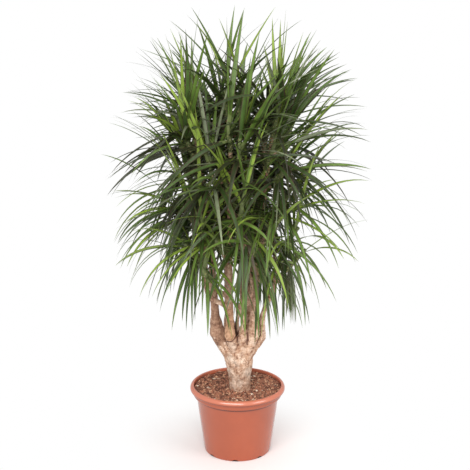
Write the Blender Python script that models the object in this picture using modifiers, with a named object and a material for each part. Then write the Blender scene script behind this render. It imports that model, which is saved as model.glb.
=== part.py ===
"""A potted, branched dragon tree: a plastic pot of soil, a swollen trunk, boughs and heads of strap leaves.

Metres, +Z up. The origin is the centre of the pot's flat underside, and -Y is the side that faces the viewer.
"""

import math

import bmesh
import bpy
import numpy as np
from mathutils import Matrix, Vector
from mathutils.bvhtree import BVHTree

# Clearances between solids
GAP = 0.0003
LIMB_CLEARANCE = 0.003
SPACE_MARGIN = 0.001
HEAD_BERTH = 0.010

# Pot: a turned plastic shell with a rolled lip on a wider collar
POT_HEIGHT = 0.232
POT_LIP_RADIUS = 0.160
POT_COLLAR_RADIUS = 0.150
POT_WALL_TOP_RADIUS = 0.1385
POT_BASE_RADIUS = 0.1125
POT_COLLAR_DEPTH = 0.034
POT_LIP_DEPTH = 0.016
POT_WALL = 0.003
POT_FLOOR = 0.004
FLOOR_EDGE_INSET = 0.0051
LIP_ROUNDING = 0.0035
LIP_BAND = (0.0045, 0.0100)
COLLAR_ROUNDING = 0.0040
FOOT_CHAMFER = (0.0030, 0.0040)
SMALL_STEP = 0.0008
POT_STEPS = 36
DRAIN_NOTCHES = 8
DRAIN_NOTCH_SIZE = (0.016, 0.018, 0.0024)
FRONT_NOTCH_AZIMUTH = -94

# Soil: a dish that rises from the trunk to the pot's wall
SOIL_LEVEL = 0.213
SOIL_DISH = (0.060, 0.142, 0.2215)
SOIL_SIDE_GAP = 0.00045

# Trunk: a lifted root crown that swells upwards into knuckled arms
TRUNK_FOOT = (0.0075, 0.0, SOIL_LEVEL + GAP)
TRUNK_PROFILE = (
    # height above the soil, radius, sideways shift
    (-0.012, 0.0415, 0.0),
    (0.008, 0.0375, 0.0),
    (0.045, 0.0385, -0.001),
    (0.080, 0.0440, -0.002),
    (0.120, 0.0500, -0.003),
    (0.155, 0.0480, -0.003),
)
TRUNK_VOXEL = 0.0045
TRUNK_SMOOTHING = 6
TRUNK_TRIANGLES = 1500

# Arms of the fork: azimuth, reach from the trunk's axis, height of the tip, radius at the knuckle and the tip
ARMS = {
    "left": (183, 0.082, 0.487, 0.0290, 0.0155),
    "front_left": (238, 0.060, 0.476, 0.0185, 0.0125),
    "front": (283, 0.044, 0.470, 0.0170, 0.0110),
    "right": (338, 0.052, 0.486, 0.0250, 0.0150),
    "far_right": (2, 0.076, 0.464, 0.0200, 0.0105),
    "back_right": (58, 0.064, 0.478, 0.0220, 0.0140),
    "back_left": (128, 0.062, 0.480, 0.0220, 0.0140),
}
ARM_ROOT_HEIGHT = 0.318
ARM_SAG = 0.006
KNUCKLE_DROP = 0.066
KNUCKLE_REACH_SHARE = 0.93
ARM_ROOT_SWELL = (1.05, 1.12)
TIP_CUTTER_SWELL = 1.7

# Masses of foliage: where each stands round the crown, and the arm whose own bough it ends
CROWN_AXIS = (-0.002, 0.0)
CROWN_RADIUS = 0.440
CROWN_MIDDLE = 0.930
CROWN_HEIGHTS = (0.564, 0.550)
CROWN_POWERS = (2.4, 2.3)
MASSES = {
    # kind, azimuth, how much higher its heads stand than its kind's, arm; with none it ends a side bough
    "top": ("top", 283, 0.0, "front"),
    "upper_left": ("upper", 184, 0.005, "left"),
    "upper_front": ("upper", 256, -0.030, "front_left"),
    "upper_right": ("upper", 328, 0.018, "right"),
    "upper_back_right": ("upper", 40, -0.018, "back_right"),
    "upper_back": ("upper", 112, 0.025, "back_left"),
    "low_right": ("low", 4, 0.010, "far_right"),
    "low_back": ("low", 76, -0.012, None),
    "low_back_left": ("low", 148, 0.022, None),
    "low_left": ("low", 220, -0.010, None),
    "low_front": ("low", 292, 0.0, None),
}
MASS_ROOTS = {
    # radius from the crown's axis and height
    "top": (0.030, 0.980),
    "upper": (0.100, 0.880),
    "low": (0.127, 0.592),
}
HEADS = {
    # radius from the crown's axis, height, turn from the mass's azimuth, outward lean
    "top": ((0.044, 1.200, 0, 3), (0.046, 1.180, 125, 4), (0.045, 1.212, 240, 3)),
    "upper": (
        (0.150, 1.160, 0, 15),
        (0.172, 1.095, 15, 22),
        (0.176, 1.045, -15, 26),
        (0.176, 0.975, 4, 32),
    ),
    "low": (
        (0.182, 0.895, -14, 28),
        (0.190, 0.838, 14, 32),
        (0.194, 0.775, -8, 36),
        (0.192, 0.712, 13, 38),
    ),
}
HEAD_SCATTER = 0.009
HEAD_TURN_SCATTER = 3

# Stems and twigs: the lower a head, the lower its twig forks from the stem
TWIG_FORKS = (0.0, 0.46, 0.30, 0.14)
TWIG_HANDLES = (0.30, 0.35)
STEM_RADIUS = 0.0078
STEM_UPTURN = 0.25
STRAIGHT_FOOT = 0.008
TWIG_RADIUS = 0.0062
LEAFY_LENGTH = 0.085
LEAFY_RADIUS = 0.0088
LEAFY_TIP_RADIUS = 0.0050
LEAFY_SWELL_SHARE = 0.7

# Boughs
BOUGH_HANDLES = (0.42, 0.40)
BOUGH_STUB = 0.012
BOUGH_TAPER = 1.6
SIDE_BOUGH_RADIUS = 0.0095
SIDE_BOUGH_SHARE = 0.86
SIDE_BOUGH_HANDLES = (0.24, 0.42)
SIDE_BOUGH_RISE = 0.12
SIDE_BOUGH_STUB = 0.006
LOWEST_FORK = 0.515
FORK_DROPS = (0.06, 0.20, 0.01)
FORK_STRETCH = 0.030
CLEARANCE_WORTH = 40

# Leaves: how each leaves its twig
LEAVES_PER_HEAD = 12
LEAVES_TRIED = 200
GOLDEN_ANGLE = 137.508
GOLDEN_SHARE = 0.618
STIFF_AND_SLACK_HEIGHTS = (1.20, 0.72)
YOUNG_ANGLE = 7
OLD_ANGLES = (102, 124)
ANGLE_POWER = 0.85
TOP_LEAF_DROP = 0.003
DROOPS = (1.5, 4.0)
DROOP_SPREAD = 0.15
ROLL_SPREAD = 0.5
SPACE_DROOP = 0.6

# Leaves: the blade
LEAF_LENGTH = 0.340
LENGTH_SHARES = (0.84, 0.20)
LENGTH_PHASE = 0.12
LENGTH_SPREAD = 0.05
SHORTENED = (1.0, 0.88, 0.76)
LEAF_WIDTH = 0.023
LEAF_ROOT_WIDTH = 0.006
WIDEST_SHARE = 0.40
TIP_SHARE = 0.62
TIP_POWER = 0.85
LEAF_THICKNESS_SHARE = 0.0105
THIN_KEEL_SHARE = 0.55
LEAF_SAMPLES = 16
PATH_SAMPLES = 60
PATH_STRETCH = 1.9
STATIONS = (4, 5)
MUCH_BENT = 0.60
CROWDED_ROOT = 0.014
OWN_TWIG_STRETCH = 0.030

# Each fused mass is thinned by the first of these shares that leaves no faces crossing
THINNING = (0.60, 0.64, 0.69, 0.75, 0.84)
SEED = 6

COLOURS = {
    # slot: colour, roughness
    "pot_plastic": ((0.560, 0.170, 0.095, 1.0), 0.38),
    "potting_soil": ((0.110, 0.055, 0.034, 1.0), 0.95),
    "bark": ((0.420, 0.265, 0.170, 1.0), 0.85),
    "leaf": ((0.045, 0.110, 0.025, 1.0), 0.42),
}


def clear_scene():
    for obj in list(bpy.data.objects):
        bpy.data.objects.remove(obj)


def collection(name):
    made = bpy.data.collections.new(name)
    bpy.context.scene.collection.children.link(made)
    return made


def remove_collection(group):
    for obj in list(group.objects):
        bpy.data.objects.remove(obj)
    bpy.data.collections.remove(group)


def material(slot, name):
    colour, roughness = COLOURS[slot]
    made = bpy.data.materials.new(name)
    made.use_nodes = True
    shader = made.node_tree.nodes["Principled BSDF"]
    shader.inputs["Base Color"].default_value = colour
    shader.inputs["Roughness"].default_value = roughness
    shader.inputs["Metallic"].default_value = 0.0
    return made


def mesh_object(name, mesh, group, slot=None):
    obj = bpy.data.objects.new(name, mesh)
    group.objects.link(obj)
    if slot:
        mesh.materials.clear()
        mesh.materials.append(material(slot, name))
    return obj


def apply_modifiers(obj):
    """Replaces an object's mesh with its evaluated one."""
    bpy.context.view_layer.update()
    graph = bpy.context.evaluated_depsgraph_get()
    mesh = bpy.data.meshes.new_from_object(obj.evaluated_get(graph))
    obj.modifiers.clear()
    obj.data = mesh


def join_collection(obj, pieces):
    """A union of an object with everything in a collection."""
    join = obj.modifiers.new("Join", "BOOLEAN")
    join.operation = "UNION"
    join.operand_type = "COLLECTION"
    join.collection = pieces
    join.solver = "EXACT"


def thin_out(obj, ratio):
    thin = obj.modifiers.new("Thin out", "DECIMATE")
    thin.ratio = ratio
    thin.use_collapse_triangulate = True
    apply_modifiers(obj)


def unit(vector):
    vector = np.asarray(vector, float)
    return vector / np.linalg.norm(vector)


def on_circle(radius, azimuth, height):
    turn = math.radians(azimuth)
    return np.array([radius * math.cos(turn), radius * math.sin(turn), height])


def in_crown(radius, azimuth, height):
    """A place given from the crown's axis."""
    return on_circle(radius, azimuth, height) + (*CROWN_AXIS, 0.0)


def from_crown_axis(points):
    """How far out from the crown's axis each point lies."""
    return np.hypot(points[..., 0] - CROWN_AXIS[0], points[..., 1] - CROWN_AXIS[1])


def bezier(start, leave, arrive, end, count):
    """Points evenly along a cubic curve through its two ends."""
    t = np.linspace(0, 1, count)[:, None]
    return (
        (1 - t) ** 3 * start
        + 3 * (1 - t) ** 2 * t * leave
        + 3 * (1 - t) * t**2 * arrive
        + t**3 * end
    )


# Pot and soil


def turned(name, profile, group, slot):
    """A solid of revolution from its half profile, which runs down the outer side."""
    mesh = bpy.data.meshes.new(name)
    points = [(radius, 0.0, height) for radius, height in profile]
    mesh.from_pydata(points, [(i, i + 1) for i in range(len(points) - 1)], [])
    obj = mesh_object(name, mesh, group, slot)
    screw = obj.modifiers.new("Turn", "SCREW")
    screw.steps = screw.render_steps = POT_STEPS
    screw.use_merge_vertices = True
    screw.merge_threshold = 0.00005
    screw.use_smooth_shade = True
    return obj


def pot_profiles():
    """The inner and the outer half profiles, which together close the pot's wall."""
    top = POT_HEIGHT
    lip_foot = top - POT_LIP_DEPTH
    collar_foot = top - POT_COLLAR_DEPTH
    collar_inside = POT_COLLAR_RADIUS - POT_WALL
    inner = [
        (0.0, POT_FLOOR),
        (POT_BASE_RADIUS - FLOOR_EDGE_INSET, POT_FLOOR),
        (POT_WALL_TOP_RADIUS - POT_WALL, collar_foot + SMALL_STEP),
        (collar_inside, collar_foot + 2 * POT_WALL),
        (collar_inside + SMALL_STEP / 2, top - POT_WALL),
    ]
    outer = [
        (collar_inside + LIP_ROUNDING, top),
        (POT_LIP_RADIUS - LIP_ROUNDING, top - SMALL_STEP),
        (POT_LIP_RADIUS, top - LIP_BAND[0]),
        (POT_LIP_RADIUS, top - LIP_BAND[1]),
        (POT_LIP_RADIUS - LIP_ROUNDING, lip_foot),
        (POT_COLLAR_RADIUS, lip_foot + SMALL_STEP / 2),
        (POT_COLLAR_RADIUS - SMALL_STEP, collar_foot + COLLAR_ROUNDING),
        (POT_COLLAR_RADIUS - COLLAR_ROUNDING, collar_foot),
        (POT_WALL_TOP_RADIUS, collar_foot - SMALL_STEP),
        (POT_BASE_RADIUS, FOOT_CHAMFER[1]),
        (POT_BASE_RADIUS - FOOT_CHAMFER[0], 0.0),
        (0.0, 0.0),
    ]
    return inner, outer


def cut_drain_notches(pot, cutters):
    """Small arches through the pot's foot and floor edge, where water runs out."""
    width, depth, height = DRAIN_NOTCH_SIZE
    for number in range(DRAIN_NOTCHES):
        azimuth = FRONT_NOTCH_AZIMUTH + 360 * number / DRAIN_NOTCHES
        mesh = bpy.data.meshes.new("notch")
        shape = bmesh.new()
        bmesh.ops.create_cube(shape, size=1.0)
        bmesh.ops.scale(shape, vec=(2 * depth, width, 2 * height), verts=shape.verts)
        shape.to_mesh(mesh)
        shape.free()
        cutter = mesh_object(f"notch_cutter_{number}", mesh, cutters)
        cutter.location = on_circle(POT_BASE_RADIUS, azimuth, 0.0)
        cutter.rotation_euler = (0.0, 0.0, math.radians(azimuth))
    cut = pot.modifiers.new("Drain notches", "BOOLEAN")
    cut.operation = "DIFFERENCE"
    cut.operand_type = "COLLECTION"
    cut.collection = cutters


def make_pot(group, cutters):
    inner, outer = pot_profiles()
    pot = turned("pot", inner + outer, group, "pot_plastic")
    cut_drain_notches(pot, cutters)


def make_soil(group):
    """The soil fills the pot's inner profile up to a shallow dish round the trunk."""
    inner, _ = pot_profiles()
    flat_radius, raised_radius, edge_level = SOIL_DISH
    top = [(0.0, SOIL_LEVEL), (flat_radius, SOIL_LEVEL), (raised_radius, edge_level)]
    top.append((inner[3][0] - GAP, edge_level))
    side = [(radius - SOIL_SIDE_GAP, height + GAP) for radius, height in inner[3:0:-1]]
    turned("potting_soil", [*top, *side, (0.0, POT_FLOOR + GAP)], group, "potting_soil")


# Limbs


class Limb:
    """A tapering limb: points along its middle, with a radius at each."""

    def __init__(self, points, radii):
        self.points = np.asarray(points, float)
        self.radii = np.asarray(radii, float)

    def samples(self, spacing=0.006):
        steps = np.linalg.norm(np.diff(self.points, axis=0), axis=1)
        along = np.concatenate([[0.0], np.cumsum(steps)])
        wanted = np.linspace(0.0, along[-1], max(2, int(along[-1] / spacing)))
        middle = np.stack([np.interp(wanted, along, axis) for axis in self.points.T], 1)
        return middle, np.interp(wanted, along, self.radii)

    def at_height(self, height):
        """The point at a height, with the radius and the direction there."""
        middle, radii = self.samples(0.003)
        index = int(np.argmin(np.abs(middle[:, 2] - height)))
        index = min(max(index, 1), len(middle) - 2)
        direction = unit(middle[index + 1] - middle[index - 1])
        return middle[index], radii[index], direction


def clearance(limb, other, skip=0.0):
    """The least free space between two limbs, leaving out the first stretch of the first."""
    middle, radii = limb.samples(0.008)
    keep = np.linalg.norm(middle - middle[0], axis=1) >= skip
    other_middle, other_radii = other.samples()
    apart = np.linalg.norm(middle[keep][:, None] - other_middle[None], axis=2)
    return (apart - radii[keep][:, None] - other_radii[None]).min()


def tube(name, limb, group, resolution, slot=None):
    """A limb as a bevelled curve with filled caps."""
    data = bpy.data.curves.new(name, "CURVE")
    data.dimensions = "3D"
    data.bevel_depth = 1.0
    data.bevel_resolution = resolution
    data.use_fill_caps = True
    spline = data.splines.new("POLY")
    spline.points.add(len(limb.points) - 1)
    spline.use_smooth = True
    for point, place, radius in zip(spline.points, limb.points, limb.radii):
        point.co = (*place, 1.0)
        point.radius = radius
    if slot:
        data.materials.append(material(slot, name))
    obj = bpy.data.objects.new(name, data)
    group.objects.link(obj)
    return obj


def tube_mesh(name, limb, group, resolution, slot=None):
    """A limb as a closed mesh, which a Boolean can take."""
    curve = tube(name + "_curve", limb, group, resolution)
    bpy.context.view_layer.update()
    graph = bpy.context.evaluated_depsgraph_get()
    mesh = bpy.data.meshes.new_from_object(curve.evaluated_get(graph))
    mesh.transform(curve.matrix_world)
    bpy.data.objects.remove(curve)
    shape = bmesh.new()
    shape.from_mesh(mesh)
    bmesh.ops.remove_doubles(shape, verts=shape.verts, dist=0.00001)
    bmesh.ops.recalc_face_normals(shape, faces=shape.faces)
    shape.to_mesh(mesh)
    shape.free()
    return mesh_object(name, mesh, group, slot)


# Trunk


def arm_limb(name):
    """An arm of the fork: out of the trunk, round its knuckle, and up past its flat tip."""
    azimuth, reach, height, knuckle_radius, tip_radius = ARMS[name]
    foot = np.array(TRUNK_FOOT)
    root = np.array([foot[0], foot[1], ARM_ROOT_HEIGHT])
    tip = foot + on_circle(reach, azimuth, 0.0)
    tip[2] = height
    knuckle = foot + on_circle(reach * KNUCKLE_REACH_SHARE, azimuth, 0.0)
    knuckle[2] = height - KNUCKLE_DROP
    middle = (root + knuckle) / 2 - np.array([0.0, 0.0, ARM_SAG])
    neck = (knuckle + 2 * tip) / 3
    points = [root, middle, knuckle, neck, tip, 2 * tip - neck]
    root_radii = [knuckle_radius * swell for swell in ARM_ROOT_SWELL]
    neck_radius = (knuckle_radius + 3 * tip_radius) / 4
    return Limb(points, [*root_radii, knuckle_radius, neck_radius, tip_radius, tip_radius])


def arm_tip(name):
    """The centre of an arm's flat tip, its radius and the way it points."""
    limb = arm_limb(name)
    return limb.points[4], limb.radii[4], unit(limb.points[5] - limb.points[4])


def trunk_limb():
    foot = np.array(TRUNK_FOOT)
    points = [foot + (shift, 0.0, height) for height, _, shift in TRUNK_PROFILE]
    return Limb(points, [radius for _, radius, _ in TRUNK_PROFILE])


def disc_cutter(name, centre, direction, radius, group, depth=0.05):
    """A cylinder that starts at a plane and runs on along its normal."""
    mesh = bpy.data.meshes.new(name)
    shape = bmesh.new()
    bmesh.ops.create_cone(
        shape, cap_ends=True, segments=24, radius1=radius, radius2=radius, depth=depth
    )
    bmesh.ops.translate(shape, vec=(0.0, 0.0, depth / 2), verts=shape.verts)
    shape.to_mesh(mesh)
    shape.free()
    cutter = mesh_object(name, mesh, group)
    turn = Vector(direction).to_track_quat("Z", "Y").to_matrix().to_4x4()
    cutter.matrix_world = Matrix.Translation(Vector(centre)) @ turn
    return cutter


def make_trunk(group, cutters):
    """The trunk and its arms, fused, smoothed, and cut flat at the soil and at each arm's tip."""
    arms = collection("trunk arms")
    trunk = tube_mesh("trunk", trunk_limb(), group, 4)
    for name in ARMS:
        tube_mesh("arm_" + name, arm_limb(name), arms, 3)
    join_collection(trunk, arms)
    remesh = trunk.modifiers.new("Fuse", "REMESH")
    remesh.mode = "VOXEL"
    remesh.voxel_size = TRUNK_VOXEL
    smooth = trunk.modifiers.new("Smooth", "SMOOTH")
    smooth.factor = 0.5
    smooth.iterations = TRUNK_SMOOTHING
    apply_modifiers(trunk)
    remove_collection(arms)
    trunk.data.calc_loop_triangles()
    thin_out(trunk, TRUNK_TRIANGLES / len(trunk.data.loop_triangles))
    disc_cutter("soil_cutter", TRUNK_FOOT, (0.0, 0.0, -1.0), 2 * TRUNK_PROFILE[0][1], cutters)
    for name in ARMS:
        centre, radius, direction = arm_tip(name)
        disc_cutter("tip_cutter_" + name, centre, direction, radius * TIP_CUTTER_SWELL, cutters)
    cut = trunk.modifiers.new("Flat cuts", "BOOLEAN")
    cut.operation = "DIFFERENCE"
    cut.operand_type = "COLLECTION"
    cut.collection = cutters
    trunk.data.materials.clear()
    trunk.data.materials.append(material("bark", "trunk"))
    trunk.data.shade_smooth()


# Masses of foliage and the boughs that carry them


class Head:
    """One head of leaves: the tip of its leafy twig and the way that the twig points there."""

    def __init__(self, place, mass_azimuth, lift, chance):
        radius, height, turn, lean = place
        azimuth = mass_azimuth + turn + chance.uniform(-HEAD_TURN_SCATTER, HEAD_TURN_SCATTER)
        self.tip = in_crown(radius, azimuth, height + lift)
        self.tip += chance.uniform(-HEAD_SCATTER, HEAD_SCATTER, 3)
        lean = math.radians(lean)
        self.axis = unit(on_circle(math.sin(lean), azimuth, math.cos(lean)))
        self.phase = chance.uniform(0, 360)
        stiff, slack = STIFF_AND_SLACK_HEIGHTS
        self.slack = float(np.clip((stiff - self.tip[2]) / (stiff - slack), 0, 1))

    def between(self, stiff, slack):
        """A value between that of the stiff heads at the top and that of the slack ones at the foot."""
        return stiff + (slack - stiff) * self.slack

    def heart(self):
        """The middle of the leafy stretch, which the mass's space is measured from."""
        return self.tip - self.axis * LEAFY_LENGTH / 2


class Mass:
    """A stem that forks into twigs, with a head of leaves at each twig's tip."""

    def __init__(self, name, chance):
        kind, azimuth, lift, self.arm = MASSES[name]
        radius, height = MASS_ROOTS[kind]
        self.name = name
        self.root = in_crown(radius, azimuth, height)
        self.heads = [Head(place, azimuth, lift, chance) for place in HEADS[kind]]
        middle = sum(head.tip for head in self.heads) / len(self.heads)
        self.way = unit(middle - self.root + np.array([0.0, 0.0, STEM_UPTURN]))

    def twig(self, head, start, way, foot):
        """A twig that sets out one way, past its foot if it has one, and swells under its head's leaves."""
        neck = head.tip - head.axis * LEAFY_LENGTH
        reach = float(np.linalg.norm(neck - start))
        leave = start + way * TWIG_HANDLES[0] * reach
        arrive = neck - head.axis * TWIG_HANDLES[1] * reach
        bare = bezier(start, leave, arrive, neck, 4)
        if foot:
            bare = bare[1:]
        swell = head.tip - head.axis * LEAFY_LENGTH * LEAFY_SWELL_SHARE
        radii = [STEM_RADIUS] * len(foot) + [TWIG_RADIUS] * len(bare)
        return Limb([*foot, *bare, swell, head.tip], [*radii, LEAFY_RADIUS, LEAFY_TIP_RADIUS])

    def twigs(self):
        """One limb for each head: the stem itself, then the twigs that fork from its axis."""
        start = self.root + GAP * self.way
        foot = [start, start + self.way * STRAIGHT_FOOT]
        stem = self.twig(self.heads[0], start, self.way, foot)
        path, _ = stem.samples(0.002)
        found = [stem]
        for head, fork in zip(self.heads[1:], TWIG_FORKS[1:]):
            place = int(fork * len(path))
            way = unit(path[place + 1] - path[place])
            found.append(self.twig(head, path[place], way, []))
        return found


def all_masses():
    chance = np.random.default_rng(SEED)
    return [Mass(name, chance) for name in MASSES]


def main_bough(mass):
    """A bough from its arm's flat tip up to its mass."""
    start, radius, direction = arm_tip(mass.arm)
    start = start + GAP * direction
    rise = mass.root[2] - start[2]
    leave = start + direction * BOUGH_HANDLES[0] * rise
    arrive = mass.root - mass.way * BOUGH_HANDLES[1] * rise
    points = bezier(start, leave, arrive, mass.root, 8)
    points = np.insert(points, 1, start + direction * BOUGH_STUB, axis=0)
    points = np.insert(points, -1, mass.root - mass.way * STRAIGHT_FOOT, axis=0)
    share = np.linspace(0, 1, len(points))
    return Limb(points, STEM_RADIUS + (radius - STEM_RADIUS) * (1 - share) ** BOUGH_TAPER)


def side_bough(parent, height, mass):
    """A bough that leaves another's side at a height, and turns up to its mass."""
    middle, radius, direction = parent.at_height(height)
    outward = mass.root - middle
    outward = unit(outward - direction * float(np.dot(outward, direction)))
    start = middle + outward * (radius + GAP)
    reach = float(np.linalg.norm(mass.root - start))
    leave = start + (outward * SIDE_BOUGH_HANDLES[0] + direction * SIDE_BOUGH_RISE) * reach
    arrive = mass.root - mass.way * SIDE_BOUGH_HANDLES[1] * reach
    points = bezier(start, leave, arrive, mass.root, 6)
    points = np.insert(points, 1, start + outward * SIDE_BOUGH_STUB, axis=0)
    points = np.insert(points, -1, mass.root - mass.way * STRAIGHT_FOOT, axis=0)
    share = np.linspace(0, 1, len(points))
    thick = min(SIDE_BOUGH_RADIUS, radius * SIDE_BOUGH_SHARE)
    return Limb(points, STEM_RADIUS + (thick - STEM_RADIUS) * (1 - share))


def choose_side_bough(mass, parents, limbs):
    """The side bough that leaves the most free space, over every parent and several heights."""
    best = None
    for parent in parents:
        for drop in np.arange(*FORK_DROPS):
            height = mass.root[2] - drop
            if height < LOWEST_FORK:
                continue
            found = side_bough(parent, height, mass)
            free = min(
                clearance(found, limb, FORK_STRETCH if limb is parent else 0.0) for limb in limbs
            )
            length = float(np.linalg.norm(found.points[-1] - found.points[0]))
            score = min(free, LIMB_CLEARANCE) * CLEARANCE_WORTH - length
            if free > GAP * 4 and (best is None or score > best[0]):
                best = (score, found)
    if best is None:
        raise RuntimeError(f"no free way to {mass.name}")
    return best[1]


def all_boughs(masses):
    """Every bough by its mass: those that go on from the arms, then the side boughs."""
    boughs = {mass.name: main_bough(mass) for mass in masses if mass.arm}
    mains = list(boughs.values())
    wood = [trunk_limb()] + [arm_limb(name) for name in ARMS]
    for mass in masses:
        if mass.arm:
            continue
        stems = [twig for other in masses if other is not mass for twig in other.twigs()]
        limbs = wood + list(boughs.values()) + stems
        boughs[mass.name] = choose_side_bough(mass, mains, limbs)
    return boughs


# Leaves


class Leaf:
    """A strap leaf that leaves its twig straight and droops with its distance from it."""

    def __init__(self, root, direction, length, droop, roll, stations=LEAF_SAMPLES):
        self.plan = (root, direction, length, droop, roll)
        self.length = length
        level = float(np.hypot(direction[0], direction[1]))
        self.bend = droop * length * level**2
        reach = np.linspace(0, PATH_STRETCH * length, PATH_SAMPLES)[:, None]
        path = root + direction * reach
        path[:, 2] -= droop * (reach[:, 0] * level) ** 2
        steps = np.linalg.norm(np.diff(path, axis=0), axis=1)
        along = np.concatenate([[0.0], np.cumsum(steps)])
        share = np.linspace(0, 1, stations)
        self.points = np.stack([np.interp(share * length, along, axis) for axis in path.T], 1)
        ways = np.gradient(self.points, axis=0)
        ways /= np.linalg.norm(ways, axis=1)[:, None]
        flat = unit(np.cross((0.0, 0.0, 1.0), direction + np.array([1e-6, 0.0, 0.0])))
        flat = np.repeat(flat[None], stations, axis=0)
        self.across = flat * math.cos(roll) + np.cross(ways, flat) * math.sin(roll)
        self.upper = np.cross(ways, self.across)
        self.half = self.half_width(share)
        self.ribbon = self.free_ribbon()

    @staticmethod
    def half_width(share):
        """Half the blade's width: narrow at the root, widest before the middle, drawn out to a point."""
        rise = np.clip(share / WIDEST_SHARE, 0, 1)
        swell = LEAF_ROOT_WIDTH + (LEAF_WIDTH - LEAF_ROOT_WIDTH) * rise * (2 - rise)
        return 0.5 * swell * np.clip((1 - share) / TIP_SHARE, 0, 1) ** TIP_POWER

    def with_stations(self, stations):
        return Leaf(*self.plan, stations)

    def past(self, stretch):
        """Which points lie further from the root than a stretch."""
        return np.linalg.norm(self.points - self.points[0], axis=1) > stretch

    def free_ribbon(self):
        """The blade as a flat strip, from where it is out of the crowd round the twig."""
        free = self.past(CROWDED_ROOT)
        side = self.across * self.half[:, None]
        corners = np.concatenate([(self.points + side)[free], (self.points - side)[free]])
        count = int(free.sum())
        strips = [(i, i + 1, count + i + 1, count + i) for i in range(count - 1)]
        return BVHTree.FromPolygons(corners.tolist(), strips)

    def outline(self):
        """Points over the blade, leaving out its root, which is sunk in its own twig."""
        free = self.past(OWN_TWIG_STRETCH)
        edges = [self.points + self.across * self.half[:, None] * side for side in (-1, 0, 1)]
        return np.concatenate([edge[free] for edge in edges])


def lifted(points):
    """The points raised more the further out they are, so that the spaces between hang as leaves do."""
    out = np.array(points, float)
    out[..., 2] += SPACE_DROOP * from_crown_axis(out) ** 2
    return out


class Spaces:
    """The masses' own spaces: a point belongs to the mass with the nearest head, once both are lifted."""

    def __init__(self, masses):
        self.owner = np.array([i for i, mass in enumerate(masses) for _ in mass.heads])
        self.hearts = lifted([head.heart() for mass in masses for head in mass.heads])

    def holds(self, index, points):
        apart = np.linalg.norm(lifted(points)[:, None] - self.hearts[None], axis=2)
        own = apart[:, self.owner == index].min(axis=1)
        others = apart[:, self.owner != index].min(axis=1)
        return bool((others - own).min() > 2 * SPACE_MARGIN)


class Wood:
    """Every limb and twig as beads, to keep the leaves clear of them."""

    def __init__(self, limbs, masses):
        self.heads = [head for mass in masses for head in mass.heads]
        twigs = [twig for mass in masses for twig in mass.twigs()]
        beads = [limb.samples(0.005) for limb in twigs + limbs]
        owners = [np.full(len(radii), number) for number, (_, radii) in enumerate(beads)]
        self.middle = np.concatenate([middle for middle, _ in beads])
        self.radius = np.concatenate([radii for _, radii in beads])
        self.owner = np.concatenate(owners)
        for number, head in enumerate(self.heads):
            leafy = np.linalg.norm(self.middle - head.tip, axis=1) < LEAFY_LENGTH
            self.radius[leafy & (self.owner == number)] += HEAD_BERTH

    def clear_of(self, head, points):
        """Whether the points keep off every limb and every twig but the head's own."""
        other = self.owner != self.heads.index(head)
        apart = np.linalg.norm(points[:, None] - self.middle[other][None], axis=2)
        return bool((apart - self.radius[other][None]).min() > LIMB_CLEARANCE)


def planned_leaf(head, number, chance):
    """A leaf's root, direction and length: young and upright at the tip, old and hanging below."""
    age = (number * GOLDEN_SHARE + head.phase / 360) % 1.0
    old_angle = head.between(*OLD_ANGLES)
    from_axis = math.radians(YOUNG_ANGLE + (old_angle - YOUNG_ANGLE) * age**ANGLE_POWER)
    turn = math.radians(GOLDEN_ANGLE * number + head.phase)
    side = unit(np.cross(head.axis, (0.0, 1.0, 0.02)))
    across = side * math.cos(turn) + np.cross(head.axis, side) * math.sin(turn)
    direction = unit(across * math.sin(from_axis) + head.axis * math.cos(from_axis))
    root = head.tip - head.axis * (TOP_LEAF_DROP + (LEAFY_LENGTH - TOP_LEAF_DROP) * age)
    least, gain = LENGTH_SHARES
    length = LEAF_LENGTH * (least + gain * math.sin(math.pi * min(1.0, age + LENGTH_PHASE)))
    return root, direction, length * chance.uniform(1 - LENGTH_SPREAD, 1 + LENGTH_SPREAD)


def in_outline(points):
    """Whether the points keep to the crown's outline, an egg whose two halves differ in height."""
    rise = points[:, 2] - CROWN_MIDDLE
    power = np.where(rise > 0, *CROWN_POWERS)
    up = np.abs(rise) / np.where(rise > 0, *CROWN_HEIGHTS)
    out = from_crown_axis(points) / CROWN_RADIUS
    return bool((out**power + up**power).max() <= 1)


def fitted_leaf(head, number, index, spaces, wood, chance):
    """The planned leaf, or a shorter one, if it keeps to the crown, its mass's space and off the limbs."""
    root, direction, length = planned_leaf(head, number, chance)
    roll = chance.uniform(-ROLL_SPREAD, ROLL_SPREAD)
    droop = head.between(*DROOPS) * chance.uniform(1 - DROOP_SPREAD, 1 + DROOP_SPREAD)
    for share in SHORTENED:
        leaf = Leaf(root, direction, length * share, droop, roll)
        outline = leaf.outline()
        if (
            in_outline(outline)
            and spaces.holds(index, outline)
            and wood.clear_of(head, outline)
        ):
            return leaf
    return None


def crosses(leaf, others):
    """Whether a leaf cuts another of its mass once it is out of the crowd round the twig."""
    return any(leaf.ribbon.overlap(other.ribbon) for other in others)


def all_leaves(masses, limbs):
    """The leaves of each mass, by its name."""
    spaces = Spaces(masses)
    wood = Wood(limbs, masses)
    chance = np.random.default_rng(SEED + 1)
    found = {}
    for index, mass in enumerate(masses):
        leaves = []
        grown = dict.fromkeys(mass.heads, 0)
        for number in range(LEAVES_TRIED):
            for head in mass.heads:
                if grown[head] == LEAVES_PER_HEAD:
                    continue
                leaf = fitted_leaf(head, number, index, spaces, wood, chance)
                if leaf and not crosses(leaf, leaves):
                    leaves.append(leaf)
                    grown[head] += 1
        found[mass.name] = leaves
    return found


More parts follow.
